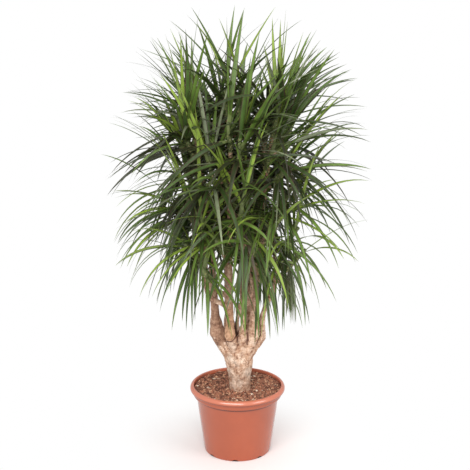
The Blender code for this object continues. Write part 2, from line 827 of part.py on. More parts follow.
def leaf_solid(name, leaf, group):
    """A closed blade of three-cornered sections, flat above and keeled below, drawn out to a point."""
    thickness = leaf.length * LEAF_THICKNESS_SHARE
    shape = bmesh.new()
    rings = []
    for place, across, face, half in zip(leaf.points[:-1], leaf.across, leaf.upper, leaf.half):
        fullness = THIN_KEEL_SHARE + (1 - THIN_KEEL_SHARE) * half / (0.5 * LEAF_WIDTH)
        corners = (place + across * half, place - face * thickness * fullness, place - across * half)
        rings.append([shape.verts.new(corner) for corner in corners])
    tip = shape.verts.new(leaf.points[-1])
    shape.faces.new(rings[0])
    for low, high in zip(rings, rings[1:]):
        for i in range(3):
            j = (i + 1) % 3
            shape.faces.new((low[i], high[i], high[j], low[j]))
    for i in range(3):
        shape.faces.new((rings[-1][i], tip, rings[-1][(i + 1) % 3]))
    bmesh.ops.recalc_face_normals(shape, faces=shape.faces)
    bmesh.ops.triangulate(shape, faces=shape.faces)
    mesh = bpy.data.meshes.new(name)
    shape.to_mesh(mesh)
    shape.free()
    mesh_object(name, mesh, group)


def keep_outer_shell(mesh):
    """Drops every shell but the largest, which fills sealed hollows and removes loose scraps."""
    shape = bmesh.new()
    shape.from_mesh(mesh)
    left = set(shape.verts)
    shells = []
    while left:
        shell = {left.pop()}
        newest = shell
        while newest:
            newest = {e.other_vert(v) for v in newest for e in v.link_edges} - shell
            shell = shell | newest
        left -= shell
        shells.append(shell)
    shells.sort(key=len)
    for shell in shells[:-1]:
        bmesh.ops.delete(shape, geom=list(shell), context="VERTS")
    shape.to_mesh(mesh)
    shape.free()


def faces_cross(mesh):
    """Whether any two faces that share no corner cut each other."""
    mesh.calc_loop_triangles()
    corners = [tuple(triangle.vertices) for triangle in mesh.loop_triangles]
    tree = BVHTree.FromPolygons([vertex.co for vertex in mesh.vertices], corners)
    return any(a < b and not set(corners[a]) & set(corners[b]) for a, b in tree.overlap(tree))


def thin_mass(obj):
    """Collapses the least faces of a fused mass, as far as no two faces come to cross."""
    whole = obj.data
    for ratio in THINNING:
        obj.data = whole
        thin_out(obj, ratio)
        if not faces_cross(obj.data):
            return
    obj.data = whole


def make_mass(mass, leaves, group):
    """A mass's twigs and leaves, fused by one union."""
    first, *others = mass.twigs()
    stem = tube_mesh("leaves_" + mass.name, first, group, 0, "leaf")
    pieces = collection("pieces of " + mass.name)
    for number, twig in enumerate(others):
        tube_mesh(f"twig_{mass.name}_{number}", twig, pieces, 0)
    for number, leaf in enumerate(leaves):
        stations = STATIONS[leaf.bend > MUCH_BENT]
        leaf_solid(f"leaf_{mass.name}_{number}", leaf.with_stations(stations), pieces)
    join_collection(stem, pieces)
    apply_modifiers(stem)
    remove_collection(pieces)
    keep_outer_shell(stem.data)
    thin_mass(stem)


def make_plant():
    clear_scene()
    group = collection("potted dragon tree")
    notch_cutters = collection("pot cutters")
    trunk_cutters = collection("trunk cutters")
    make_pot(group, notch_cutters)
    make_soil(group)
    make_trunk(group, trunk_cutters)
    masses = all_masses()
    boughs = all_boughs(masses)
    for mass in masses:
        tube("bough_" + mass.name, boughs[mass.name], group, 2 if mass.arm else 1, "bark")
    limbs = [trunk_limb()] + [arm_limb(name) for name in ARMS] + list(boughs.values())
    leaves = all_leaves(masses, limbs)
    for mass in masses:
        make_mass(mass, leaves[mass.name], group)
    for cutter in [*notch_cutters.objects, *trunk_cutters.objects]:
        cutter.hide_render = True
        cutter.display_type = "WIRE"


make_plant()
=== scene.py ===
"""The looks of a potted, branched dragon tree: its pot, bark chips, corky limbs and heads of leaves.

Metres, +Z up. The limbs and the heads grow by the same rule as the solids of the frame.
"""

import math

import bmesh
import bpy
import numpy as np
from mathutils import Euler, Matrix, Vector, noise
from mathutils.kdtree import KDTree


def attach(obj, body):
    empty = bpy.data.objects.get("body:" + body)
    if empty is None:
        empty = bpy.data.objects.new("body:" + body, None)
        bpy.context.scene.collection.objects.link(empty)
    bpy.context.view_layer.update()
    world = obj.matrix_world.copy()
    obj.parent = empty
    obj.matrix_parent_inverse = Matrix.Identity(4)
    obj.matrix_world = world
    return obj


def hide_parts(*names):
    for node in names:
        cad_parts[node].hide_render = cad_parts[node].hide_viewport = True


SEED = 6
GAP = 0.0003
WHITE = (1.0, 1.0, 1.0)
BLACK = (0.0, 0.0, 0.0)

# Camera, at the photograph's viewing angle
CAMERA_PLACE = (-0.0085, -3.2, 1.5566)
CAMERA_PITCH = 14.149
CAMERA_LENS = 77.68
SENSOR_WIDTH = 36.0

# Floor: its size and how far from the pot it turns into plain white
FLOOR_RADIUS = 2.6
FLOOR_FADE = (0.13, 0.48)
FLOOR_COLOUR = (0.93, 0.90, 0.89)

# Light: the white round about, and the place, target, size and power of each lamp
SKY_COLOUR = (0.99, 0.99, 0.985)
SKY_STRENGTH = 0.62
LAMPS = {
    "key": ((-0.7, -3.0, 2.3), (0.0, 0.0, 0.7), (3.2, 2.0), 118),
    "fill": ((2.6, -1.8, 2.0), (0.0, 0.0, 0.7), (1.8, 1.8), 40),
    "top": ((0.2, 0.4, 3.6), (0.0, 0.0, 0.6), (2.2, 2.2), 34),
}

# Pot
POT_HEIGHT = 0.232
POT_LIP_RADIUS = 0.160
POT_COLLAR_RADIUS = 0.150
POT_WALL_TOP_RADIUS = 0.1385
POT_BASE_RADIUS = 0.1125
POT_COLLAR_DEPTH = 0.034
POT_LIP_DEPTH = 0.016
LIP_LEAN = 30
LIP_ROLL = (0.0062, 0.0092)
LIP_ROLL_END = -80
POT_WALL = 0.003
POT_FLOOR = 0.004
SMALL_STEP = 0.0008
COLLAR_FILLET = 0.0032
WALL_DROP = 0.006
FOOT_ROUND = 0.004
POT_STEPS = 144
DRAIN_NOTCHES = 8
DRAIN_NOTCH_SIZE = (0.023, 0.022, 0.0064)
FRONT_NOTCH_AZIMUTH = -94
NOTCH_EDGE = 0.0035
NOTCH_SKIN = 0.0005

# Colours of the pot, and the heights between which each groove's painted shade or the lip's painted
# highlight lies
POT_COLOUR = (0.368, 0.068, 0.020)
GROOVES = ((0.2110, 0.2195), (0.1880, 0.1970))
# painted shade: the grooves under the lip and the collar are darkened by this, where the overhang above
# shades them
GROOVE_SHADE = (0.36, 0.28, 0.26)
# painted highlight: the lip is painted lighter between these heights, where the lamps catch it
LIP_HIGHLIGHT_HEIGHTS = (0.2190, 0.2235)
LIP_HIGHLIGHT_COLOUR = (0.560, 0.170, 0.098)

# Soil and the chips on it
SOIL_LEVEL = 0.213
SOIL_DISH = (0.060, 0.142, 0.2215)
SOIL_RADIUS = 0.1465
SOIL_RINGS = 48
SOIL_SPOKES = 132
SOIL_SWELL = 0.0035
SOIL_BANK = (0.007, 0.012)
CHIP_COUNT = 3000
CHIP_LENGTHS = (0.0016, 0.0062)
CHIP_KEEP_OUT = 0.034
CHIP_WIDTH_SHARES = (0.45, 0.85)
CHIP_HEIGHT_SHARES = (0.16, 0.40)
CHIP_CORNER_SHARES = (0.62, 1.15)
CHIP_TILT = 0.35

# Trunk and its arms
TRUNK_AXIS = (0.0075, 0.0, 0.0)
TRUNK_LEVEL = SOIL_LEVEL + GAP
TRUNK_PROFILE = (
    # height above the soil, radius, sideways shift
    (-0.012, 0.0415, 0.0),
    (0.008, 0.0375, 0.0),
    (0.045, 0.0385, -0.001),
    (0.080, 0.0440, -0.002),
    (0.120, 0.0500, -0.003),
    (0.155, 0.0480, -0.003),
)
ARMS = {
    # azimuth, reach, height of the tip, radius at the knuckle and the tip
    "left": (183, 0.082, 0.487, 0.0290, 0.0155),
    "front_left": (238, 0.060, 0.476, 0.0185, 0.0125),
    "front": (283, 0.044, 0.470, 0.0170, 0.0110),
    "right": (338, 0.052, 0.486, 0.0250, 0.0150),
    "far_right": (2, 0.076, 0.464, 0.0200, 0.0105),
    "back_right": (58, 0.064, 0.478, 0.0220, 0.0140),
    "back_left": (128, 0.062, 0.480, 0.0220, 0.0140),
}
ARM_ROOT_HEIGHT = 0.318
ARM_SAG = 0.006
KNUCKLE_DROP = 0.066
KNUCKLE_REACH_SHARE = 0.93
ARM_ROOT_SWELL = (1.05, 1.12)

# Crown and its masses of foliage
CROWN_AXIS = (-0.002, 0.0, 0.0)
CROWN_RADIUS = 0.440
CROWN_MIDDLE = 0.930
CROWN_HEIGHTS = (0.564, 0.535)
CROWN_POWERS = (2.4, 2.3)
MASSES = {
    # kind, azimuth round the crown's axis, lift of the heads, arm
    "top": ("top", 283, 0.0, "front"),
    "upper_left": ("upper", 184, 0.005, "left"),
    "upper_front": ("upper", 256, -0.030, "front_left"),
    "upper_right": ("upper", 328, 0.018, "right"),
    "upper_back_right": ("upper", 40, -0.018, "back_right"),
    "upper_back": ("upper", 112, 0.025, "back_left"),
    "low_right": ("low", 4, 0.010, "far_right"),
    "low_back": ("low", 76, -0.012, None),
    "low_back_left": ("low", 148, 0.022, None),
    "low_left": ("low", 220, -0.010, None),
    "low_front": ("low", 292, 0.0, None),
}
MASS_ROOTS = {"top": (0.030, 0.980), "upper": (0.100, 0.880), "low": (0.127, 0.592)}
HEADS = {
    # radius from the crown's axis, height, turn from the mass's azimuth, outward lean
    "top": ((0.044, 1.200, 0, 3), (0.046, 1.180, 125, 4), (0.045, 1.212, 240, 3)),
    "upper": (
        (0.150, 1.160, 0, 15),
        (0.172, 1.095, 15, 22),
        (0.176, 1.045, -15, 26),
        (0.176, 0.975, 4, 32),
    ),
    "low": (
        (0.182, 0.895, -14, 28),
        (0.190, 0.838, 14, 32),
        (0.194, 0.775, -8, 36),
        (0.192, 0.712, 13, 38),
    ),
}
HEAD_SCATTER = 0.009
HEAD_TURN_SCATTER = 3

# Stems and twigs
TWIG_FORKS = (0.0, 0.46, 0.30, 0.14)
TWIG_HANDLES = (0.30, 0.35)
STEM_RADIUS = 0.0078
STEM_UPTURN = 0.25
STRAIGHT_FOOT = 0.008
TWIG_RADIUS = 0.0062
LEAFY_LENGTH = 0.085
LEAFY_RADIUS = 0.0088
LEAFY_TIP_RADIUS = 0.0050
LEAFY_SWELL_SHARE = 0.7

# Spacing of the points that stand for a limb
FINE_SPACING = 0.002
BEAD_SPACING = 0.003
SKIN_SPACING = 0.004

# Boughs
BOUGH_HANDLES = (0.42, 0.40)
BOUGH_STUB = 0.012
BOUGH_TAPER = 1.6
SIDE_BOUGH_RADIUS = 0.0095
SIDE_BOUGH_SHARE = 0.86
SIDE_BOUGH_HANDLES = (0.24, 0.42)
SIDE_BOUGH_RISE = 0.12
SIDE_BOUGH_STUB = 0.006
LOWEST_FORK = 0.515
FORK_DROPS = (0.06, 0.20, 0.01)
FORK_STRETCH = 0.030
CLEARANCE_WORTH = 40
LIMB_CLEARANCE = 0.003
BOUGH_SINK = 0.010

# Bark relief
BARK_VOXEL = 0.0024
BARK_SIDES = 16
BARK_SMOOTHING = 6
CORK_HEIGHTS = (0.47, 0.54)
CORK_EDGE_WANDER = 0.034
LUMP_SIZE = 0.024
LUMP_HEIGHT = 0.0024
CREASE_DEPTH = 0.0011
CREASE_WIDTH_SHARE = 0.10
CORK_GRAIN = 0.0011
CORK_SWELL = 0.0026
STEM_GRAIN = 0.0009
CLEFT_DEPTH = 0.0062
CLEFT_WIDTH = 0.0075
CLEFT_HEIGHTS = (0.325, 0.400)
CLEFT_SHADE_SHARE = 0.72
CLEFT_SHADE_WANDER = 0.35
STUMP = (
    # along the middle of the fork: place, radius
    ((0.0060, 0.0000, 0.320), 0.046),
    ((0.0060, -0.0040, 0.362), 0.043),
    ((0.0010, -0.0040, 0.392), 0.024),
    ((-0.002, -0.0020, 0.405), 0.0150),
    ((-0.001, -0.0060, 0.462), 0.0115),
    ((0.002, -0.0040, 0.520), 0.0105),
)
THUMB_AZIMUTH = 238
THUMB = (
    # a blunt end that stands out in front: reach from the trunk's middle, height, radius
    (0.0630, 0.4130, 0.0060),
    (0.0635, 0.4155, 0.0125),
    (0.0640, 0.4215, 0.0170),
    (0.0630, 0.4320, 0.0180),
    (0.0610, 0.4480, 0.0162),
    (0.0600, 0.4700, 0.0135),
)
THUMB_END = 2
THUMB_CREASE = (0.0172, 0.0206)
COLOURED_ARMS = {
    # height from which an arm has its own colour, and how far its edge wanders
    "front_left": (0.412, 0.0),
    "left": (0.386, 0.034),
}
# How near an arm's skin a face has that arm's colour
COLOURED_SKIN = 0.03
SCAR_SPACING = 0.0070
SCAR_HEIGHT = 0.0006
SCAR_WIDTH_SHARE = 0.17

# Short side shoots, one on each bough that goes on from an arm
SHOOT_HEIGHTS = (0.65, 0.76)
SHOOT_TRIES = 13
SHOOT_SWEEP = 150
SHOOT_LEAN = 42
SHOOT_REACH = 0.095
SHOOT_RISE = 0.110
SHOOT_SINK = 0.5
SHOOT_LEAVES = 29

# Twigs in close detail
TWIG_SIDES = 14
TWIG_SPACING = 0.0018
GREEN_NECK = 0.012
SPIKES_PER_HEAD = 54
SPIKY_STRETCH = (0.070, 0.045)
SPIKE_SPREADS = (0.30, 1.0)
SPIKE_LENGTHS = (0.006, 0.015)
SPIKE_WIDTHS = (0.0022, 0.0038)

# Leaves
LEAVES_BY_SLACK = ((0.0, 0.2, 0.4, 0.65, 1.0), (14, 42, 41, 22, 9))
TOP_LEAVES = 11
GOLDEN_ANGLE = 137.508
GOLDEN_SHARE = 0.618
AGE_POWER = 0.75
STIFF_AND_SLACK_HEIGHTS = (1.20, 0.72)
YOUNG_ANGLE = 6
OLD_ANGLES = (106, 138)
ANGLE_POWER = 0.85
DROOPS = (1.6, 5.5)
DROOP_SPREAD = 0.35
LEAF_LENGTH = 0.390
LEAF_WIDTH = 0.0176
OLD_LEAF_WIDTH_SHARE = 0.74
LEAF_LENGTH_SHARES = (0.74, 1.06)
LEAF_WIDTH_SHARES = (0.78, 1.10)
LEAF_FOLDS = (0.22, 0.50)
LEAF_TURN_SPREAD = 0.35
# Leaf roots: how far below the tip they begin, how far from the axis, and what age adds to that
FIRST_ROOT = 0.002
ROOT_RADIUS = (0.0030, 0.0035)
LEAF_SEGMENTS = 11
LEAF_CLEARANCE = 0.002
SHORTENED = (1.0, 0.92, 0.84, 0.76, 0.68)
OPEN_SIDE_RADIUS = 0.31
OPEN_SIDE_SHARES = (0.50, 0.80)
OPEN_SIDE_TOP = 1.06
LEAF_LINES = ((-1.0, 1.0), (-0.80, 0.80), (0.0, 0.0), (0.80, 0.80), (1.0, 1.0))

GREENS = {
    # from the youngest leaves to the oldest, the darker ones also painted shade inside the crown, then two
    # dealt out by chance, the first a painted highlight: base colour, roughness
    "young": ((0.205, 0.300, 0.040), 0.40),
    "fresh": ((0.104, 0.176, 0.029), 0.38),
    "mid": ((0.055, 0.102, 0.019), 0.34),
    "deep": ((0.034, 0.060, 0.014), 0.34),
    "dark": ((0.024, 0.032, 0.011), 0.36),
    # painted highlight: whole leaves painted pale for the gloss on them
    "pale_highlight": ((0.190, 0.225, 0.130), 0.30),
    "dull": ((0.080, 0.060, 0.034), 0.42),
}
# painted shade: each head's random tone, scaled by its slackness, pushes its leaves towards the darker
# greens, most in the dense upper crown
HEAD_TONES = (0.3, 1.7)
SHADE_TONE_BY_SLACK = ((0.0, 0.2, 0.5, 1.0), (0.15, 1.60, 0.80, 0.15))
DULL_CHANCE = 0.12
PALE_HIGHLIGHT_CHANCE = 0.10
# How many greens age runs through on a stiff head, and how many fewer on a slack one: painted light, that
# keeps the hanging leaves low down lighter
AGE_RANKS = (4.9, 3.3)
RANK_SPREAD = 0.6
LEAF_SPECULAR = 0.38
LEAF_BASE = ((0.170, 0.215, 0.070), 0.50)
LEAF_MARGIN = ((0.060, 0.030, 0.020), 0.45)
CHIP_COLOURS = {
    "chip_dark": (0.120, 0.044, 0.026),
    "chip_brown": (0.290, 0.121, 0.071),
    "chip_red": (0.395, 0.158, 0.088),
    "chip_tan": (0.560, 0.310, 0.185),
    "chip_pale": (0.780, 0.620, 0.480),
}
CHIP_SHARES = (0.20, 0.36, 0.24, 0.16, 0.04)
MOTTLED = {
    # colour, roughness, scale and contrast of the clouds, strength and depth of the grain
    # painted shade: the dark inside the drain notches, where shadow falls
    "pot_notch_shade": ((0.075, 0.024, 0.014), 0.8, 60.0, 0.2, 0.3, 0.0005),
    "soil_peat": ((0.175, 0.068, 0.040), 0.95, 150.0, 0.6, 0.9, 0.002),
    "bark_shade": ((0.130, 0.058, 0.038), 0.9, 70.0, 0.4, 0.5, 0.0010),
    "green_stem": ((0.130, 0.160, 0.055), 0.7, 90.0, 0.35, 0.4, 0.0005),
    "old_leaf_base": ((0.420, 0.400, 0.160), 0.6, 120.0, 0.3, 0.3, 0.0004),
    **{name: (colour, 0.9, 300.0, 0.35, 0.5, 0.0006) for name, colour in CHIP_COLOURS.items()},
}
BARKS = {
    # places and colours of the mottle, colour of the patches, scale, and how the bark darkens from the soil
    # up
    "bark_cork": (
        ((0.34, (0.235, 0.105, 0.060)), (0.46, (0.560, 0.335, 0.215)), (0.60, (0.820, 0.605, 0.455))),
        (0.900, 0.710, 0.565),
        72.0,
        (0.22, 0.33, (0.78, 0.74, 0.72)),
    ),
    "bark_stem": (
        ((0.28, (0.190, 0.100, 0.062)), (0.48, (0.480, 0.290, 0.190)), (0.70, (0.700, 0.500, 0.350))),
        (0.420, 0.200, 0.135),
        80.0,
    ),
    "bark_tawny": (
        ((0.28, (0.280, 0.125, 0.065)), (0.46, (0.540, 0.300, 0.175)), (0.66, (0.740, 0.480, 0.310))),
        (0.600, 0.340, 0.200),
        70.0,
    ),
    "bark_brown": (
        ((0.28, (0.150, 0.070, 0.042)), (0.46, (0.370, 0.205, 0.130)), (0.66, (0.600, 0.390, 0.270))),
        (0.420, 0.240, 0.150),
        70.0,
    ),
}
CRACK_COLOUR = (0.36, 0.25, 0.20)
# painted shade: colours the bark is multiplied by where its skin is hollow
HOLLOW_SHADE = ((0.42, (0.16, 0.09, 0.07)), (0.480, (0.80, 0.74, 0.70)), (0.52, WHITE))


def unit(vector):
    vector = np.asarray(vector, float)
    return vector / np.linalg.norm(vector)


def units(rows):
    """Each row made one unit long."""
    return rows / np.linalg.norm(rows, axis=1)[:, None]


def on_circle(radius, azimuth, height):
    turn = math.radians(azimuth)
    return np.array([radius * math.cos(turn), radius * math.sin(turn), height])


def in_crown(radius, azimuth, height):
    """A place given from the crown's axis."""
    return on_circle(radius, azimuth, height) + CROWN_AXIS


def in_trunk(radius, azimuth, height):
    """A place given from the trunk's axis."""
    return on_circle(radius, azimuth, height) + TRUNK_AXIS


def from_trunk(x, y):
    return math.hypot(x - TRUNK_AXIS[0], y - TRUNK_AXIS[1])


def from_crown_axis(points):
    """How far out from the crown's axis each point lies."""
    return np.hypot(points[..., 0] - CROWN_AXIS[0], points[..., 1] - CROWN_AXIS[1])


def bezier(start, leave, arrive, end, count):
    """Points evenly along a cubic curve through its two ends."""
    t = np.linspace(0, 1, count)[:, None]
    return (
        (1 - t) ** 3 * start
        + 3 * (1 - t) ** 2 * t * leave
        + 3 * (1 - t) * t**2 * arrive
        + t**3 * end
    )


def scaled(colour, factor):
    return tuple(min(1.0, channel * factor) for channel in colour)


def add_object(name, data):
    obj = bpy.data.objects.new(name, data)
    bpy.context.scene.collection.objects.link(obj)
    return obj


def mesh_object(name, shape):
    """An object made of a bmesh, which is freed."""
    mesh = bpy.data.meshes.new(name)
    shape.to_mesh(mesh)
    shape.free()
    return add_object(name, mesh)


def dress(mesh, materials, kinds):
    """Gives a mesh its materials, each face the number of its own, and smooth shading."""
    mesh.materials.clear()
    for made in materials:
        mesh.materials.append(made)
    mesh.polygons.foreach_set("material_index", np.array(kinds, np.int32))
    mesh.shade_smooth()


def apply_modifiers(obj):
    """Replaces an object's mesh with its evaluated one."""
    bpy.context.view_layer.update()
    graph = bpy.context.evaluated_depsgraph_get()
    mesh = bpy.data.meshes.new_from_object(obj.evaluated_get(graph))
    obj.modifiers.clear()
    obj.data = mesh


# Materials


def new_material(name, roughness):
    """A Principled material, with its node tree, its shader and its object coordinates."""
    made = bpy.data.materials.new(name)
    made.use_nodes = True
    tree = made.node_tree
    shader = tree.nodes["Principled BSDF"]
    shader.inputs["Roughness"].default_value = roughness
    return made, tree, shader, tree.nodes.new("ShaderNodeTexCoord").outputs["Object"]


def add_node(tree, kind, settings=None, **inputs):
    """A shader node with its settings made and its inputs linked or set, an underscore for each space."""
    node = tree.nodes.new("ShaderNode" + kind)
    for name, value in (settings or {}).items():
        setattr(node, name, value)
    for name, value in inputs.items():
        socket = node.inputs[name.replace("_", " ")]
        if isinstance(value, bpy.types.NodeSocket):
            tree.links.new(value, socket)
        else:
            socket.default_value = value
    return node


def noise_node(tree, place, scale, detail, roughness):
    node = add_node(tree, "TexNoise", Vector=place, Scale=scale, Detail=detail, Roughness=roughness)
    return node.outputs["Fac"]


def ramp_node(tree, factor, *stops):
    """A colour ramp from (place, colour) stops."""
    node = add_node(tree, "ValToRGB", Fac=factor)
    elements = node.color_ramp.elements
    while len(elements) < len(stops):
        elements.new(0.5)
    for element, (place, colour) in zip(elements, stops):
        element.position = place
        element.color = (*colour, 1.0)
    return node.outputs["Color"]


def mix_node(tree, factor, first, second, blend="MIX"):
    settings = {"data_type": "RGBA", "blend_type": blend}
    node = add_node(tree, "Mix", settings, Factor=factor, A=first, B=second)
    return node.outputs["Result"]


def bump_node(tree, shader, height, strength, distance):
    node = add_node(tree, "Bump", Height=height, Strength=strength, Distance=distance)
    tree.links.new(node.outputs["Normal"], shader.inputs["Normal"])


def mix_shaders(tree, factor, first, second, output):
    """Mixes what two nodes give and sends it to the output node."""
    both = add_node(tree, "MixShader", Fac=factor)
    tree.links.new(first.outputs[0], both.inputs[1])
    tree.links.new(second.outputs[0], both.inputs[2])
    tree.links.new(both.outputs["Shader"], tree.nodes[output].inputs["Surface"])


def clouded(tree, place, colour, scale, low, high, detail=4.0):
    """A colour in soft clouds, from one share of itself to another."""
    cloud = noise_node(tree, place, scale, detail, 0.6)
    return ramp_node(tree, cloud, (0.34, scaled(colour, low)), (0.68, scaled(colour, high)))


def mottled(name):
    """One colour, clouded a little lighter and darker, with a fine grain."""
    colour, roughness, scale, contrast, strength, depth = MOTTLED[name]
    made, tree, shader, place = new_material(name, roughness)
    tint = clouded(tree, place, colour, scale, 1 - contrast, 1 + contrast)
    tree.links.new(tint, shader.inputs["Base Color"])
    bump_node(tree, shader, noise_node(tree, place, scale * 6, 4.0, 0.65), strength, depth)
    return made


def leaf_material(name, colour, roughness):
    """One plain leaf green, with veins along the blade."""
    made, tree, shader, place = new_material(name, roughness)
    shader.inputs["Specular IOR Level"].default_value = LEAF_SPECULAR
    tree.links.new(clouded(tree, place, colour, 26.0, 0.78, 1.24, 3.0), shader.inputs["Base Color"])
    blade = add_node(tree, "UVMap", {"uv_map": "blade"}).outputs["UV"]
    veins = add_node(tree, "TexWave", Vector=blade, Scale=5.0, Distortion=0.4)
    bump_node(tree, shader, veins.outputs["Fac"], 0.18, 0.0004)
    return made


def height_ramp(tree, place, low, high, *stops):
    """A colour ramp that runs from one height to another."""
    height = add_node(tree, "SeparateXYZ", Vector=place).outputs["Z"]
    share = add_node(tree, "MapRange", Value=height, From_Min=low, From_Max=high)
    return ramp_node(tree, share.outputs["Result"], *stops)


def bark_material(name, stops, patch, scale, foot_darkening=None):
    """Corky bark: mottled tans, reddish patches and dark creases, painted shade where the skin is hollow,
    and darker from the soil up to a height.
    """
    made, tree, shader, place = new_material(name, 0.86)
    mottle = noise_node(tree, place, scale, 8.0, 0.68)
    patches = noise_node(tree, place, scale * 0.28, 3.0, 0.6)
    mask = ramp_node(tree, patches, (0.50, BLACK), (0.66, WHITE))
    red = ramp_node(tree, mottle, (0.35, scaled(patch, 0.55)), (0.65, scaled(patch, 1.1)))
    colour = mix_node(tree, mask, ramp_node(tree, mottle, *stops), red)
    winding = noise_node(tree, place, scale * 0.9, 5.0, 0.7)
    crack = (0.485, CRACK_COLOUR), (0.500, CRACK_COLOUR)
    dark = ramp_node(tree, winding, (0.455, WHITE), *crack, (0.530, WHITE))
    patchy = noise_node(tree, place, scale * 0.7, 3.0, 0.6)
    share = ramp_node(tree, patchy, (0.46, BLACK), (0.58, scaled(WHITE, 0.9)))
    creased = mix_node(tree, share, colour, dark, "MULTIPLY")
    # painted shade: the bark darkens where the skin is hollow, by its pointiness
    bend = add_node(tree, "NewGeometry").outputs["Pointiness"]
    shown = mix_node(tree, 1.0, creased, ramp_node(tree, bend, *HOLLOW_SHADE), "MULTIPLY")
    if foot_darkening:
        low, high, tint = foot_darkening
        foot = height_ramp(tree, place, low, high, (0.0, tint), (1.0, WHITE))
        shown = mix_node(tree, 1.0, shown, foot, "MULTIPLY")
    tree.links.new(shown, shader.inputs["Base Color"])
    bump_node(tree, shader, noise_node(tree, place, scale * 5.0, 8.0, 0.7), 0.75, 0.0016)
    return made


def pot_material():
    """Satin terracotta plastic, with a painted highlight along its lip and painted shade in the grooves
    under the lip and the collar.
    """
    made, tree, shader, place = new_material("pot_plastic", 0.16)
    shader.inputs["Specular IOR Level"].default_value = 0.9
    # painted highlight: the lip blends towards a lighter colour up to its top
    lit_lip = height_ramp(tree, place, *LIP_HIGHLIGHT_HEIGHTS, (0.0, POT_COLOUR), (1.0, LIP_HIGHLIGHT_COLOUR))
    share = height_ramp(tree, place, *LIP_HIGHLIGHT_HEIGHTS, (0.0, BLACK), (0.5, WHITE))
    tint = mix_node(tree, share, clouded(tree, place, POT_COLOUR, 9.0, 0.95, 1.05), lit_lip)
    # painted shade: a dark band over each groove, where the overhang above would shade it
    for low, high in GROOVES:
        reach = high - low
        stops = ((0.28, WHITE), (0.42, GROOVE_SHADE), (0.58, GROOVE_SHADE), (0.72, WHITE))
        band = height_ramp(tree, place, low - reach / 2, high + reach / 2, *stops)
        tint = mix_node(tree, 1.0, tint, band, "MULTIPLY")
    tree.links.new(tint, shader.inputs["Base Color"])
    bump_node(tree, shader, noise_node(tree, place, 54.0, 4.0, 0.65), 0.10, 0.0003)
    return made


# Pot


def arc(centre, size, first, last, count):
    """Points on part of a circle, from one angle to another in degrees."""
    turns = np.radians(np.linspace(first, last, count))
    return [(centre[0] + size * math.cos(turn), centre[1] + size * math.sin(turn)) for turn in turns]


def pot_profile():
    """The half profile of the pot's wall, from the middle of its floor up, over the lip and down."""
    top, step = POT_HEIGHT, SMALL_STEP
    collar, wall, base = POT_COLLAR_RADIUS, POT_WALL_TOP_RADIUS, POT_BASE_RADIUS
    lip_foot = top - POT_LIP_DEPTH
    collar_foot = top - POT_COLLAR_DEPTH
    wall_top = collar_foot - WALL_DROP
    inside = collar - POT_WALL
    fillet_centre = (collar - step - COLLAR_FILLET, collar_foot + COLLAR_FILLET)
    points = [
        (0.0, POT_FLOOR),
        (base - 2.5 * POT_WALL, POT_FLOOR),
        (base - 1.5 * POT_WALL, POT_FLOOR + POT_WALL),
        (wall - POT_WALL, collar_foot + step),
        (inside, collar_foot + 2 * POT_WALL),
        (inside + step / 2, top - POT_WALL),
        *arc((collar, top - POT_WALL), POT_WALL, 162, 90, 5),
        *lip_roll(),
        (collar + 2 * step, lip_foot + step / 2),
        (collar, lip_foot - 0.0010),
        (collar - step / 2, (lip_foot + collar_foot) / 2),
        *arc(fillet_centre, COLLAR_FILLET, 0, -90, 6),
        (wall + 0.0022, collar_foot - step / 2),
        (wall + step / 2, collar_foot - 2 * step),
        (wall - step, wall_top),
    ]
    for share in (0.25, 0.5, 0.75, 0.94):
        radius = wall + (base - wall) * share
        points.append((radius, wall_top * (1 - share) + FOOT_ROUND * share))
    points += arc((base - FOOT_ROUND, FOOT_ROUND), FOOT_ROUND, 0, -90, 5)
    return points + [(0.0, 0.0)]


def lip_roll():
    """The lip's outside: part of an ellipse that leans back, from its highest point round to its foot."""
    cos, sin = math.cos(math.radians(LIP_LEAN)), math.sin(math.radians(LIP_LEAN))
    short, long = LIP_ROLL
    centre_radius = POT_LIP_RADIUS - math.hypot(short * cos, long * sin)
    centre_height = POT_HEIGHT - math.hypot(short * sin, long * cos)
    first = math.atan2(long * cos, short * sin)
    points = []
    for turn in np.linspace(first, math.radians(LIP_ROLL_END), 16):
        out, up = short * math.cos(turn), long * math.sin(turn)
        points.append((centre_radius + out * cos - up * sin, centre_height + out * sin + up * cos))
    return points


def notch_cutter():
    """Flattened cylinders that lie across the pot's foot, one for each notch, above a thin skin."""
    width, depth, height = DRAIN_NOTCH_SIZE
    shape = bmesh.new()
    for number in range(DRAIN_NOTCHES):
        azimuth = FRONT_NOTCH_AZIMUTH + 360 * number / DRAIN_NOTCHES
        size = {"radius1": width / 2, "radius2": width / 2, "depth": 2 * depth}
        verts = bmesh.ops.create_cone(shape, cap_ends=True, segments=20, **size)["verts"]
        bmesh.ops.scale(shape, vec=(2 * height / width, 1.0, 1.0), verts=verts)
        tilt = Vector((1.0, 0.0, 0.0)).to_track_quat("Z", "X").to_matrix()
        bmesh.ops.rotate(shape, matrix=tilt, verts=verts)
        spin = Vector(on_circle(1.0, azimuth, 0.0)).to_track_quat("X", "Z").to_matrix()
        bmesh.ops.rotate(shape, matrix=spin, verts=verts)
        bmesh.ops.translate(shape, vec=on_circle(POT_BASE_RADIUS, azimuth, 0.0), verts=verts)
        for vertex in verts:
            vertex.co.z = max(vertex.co.z, NOTCH_SKIN)
    return mesh_object("notches", shape)


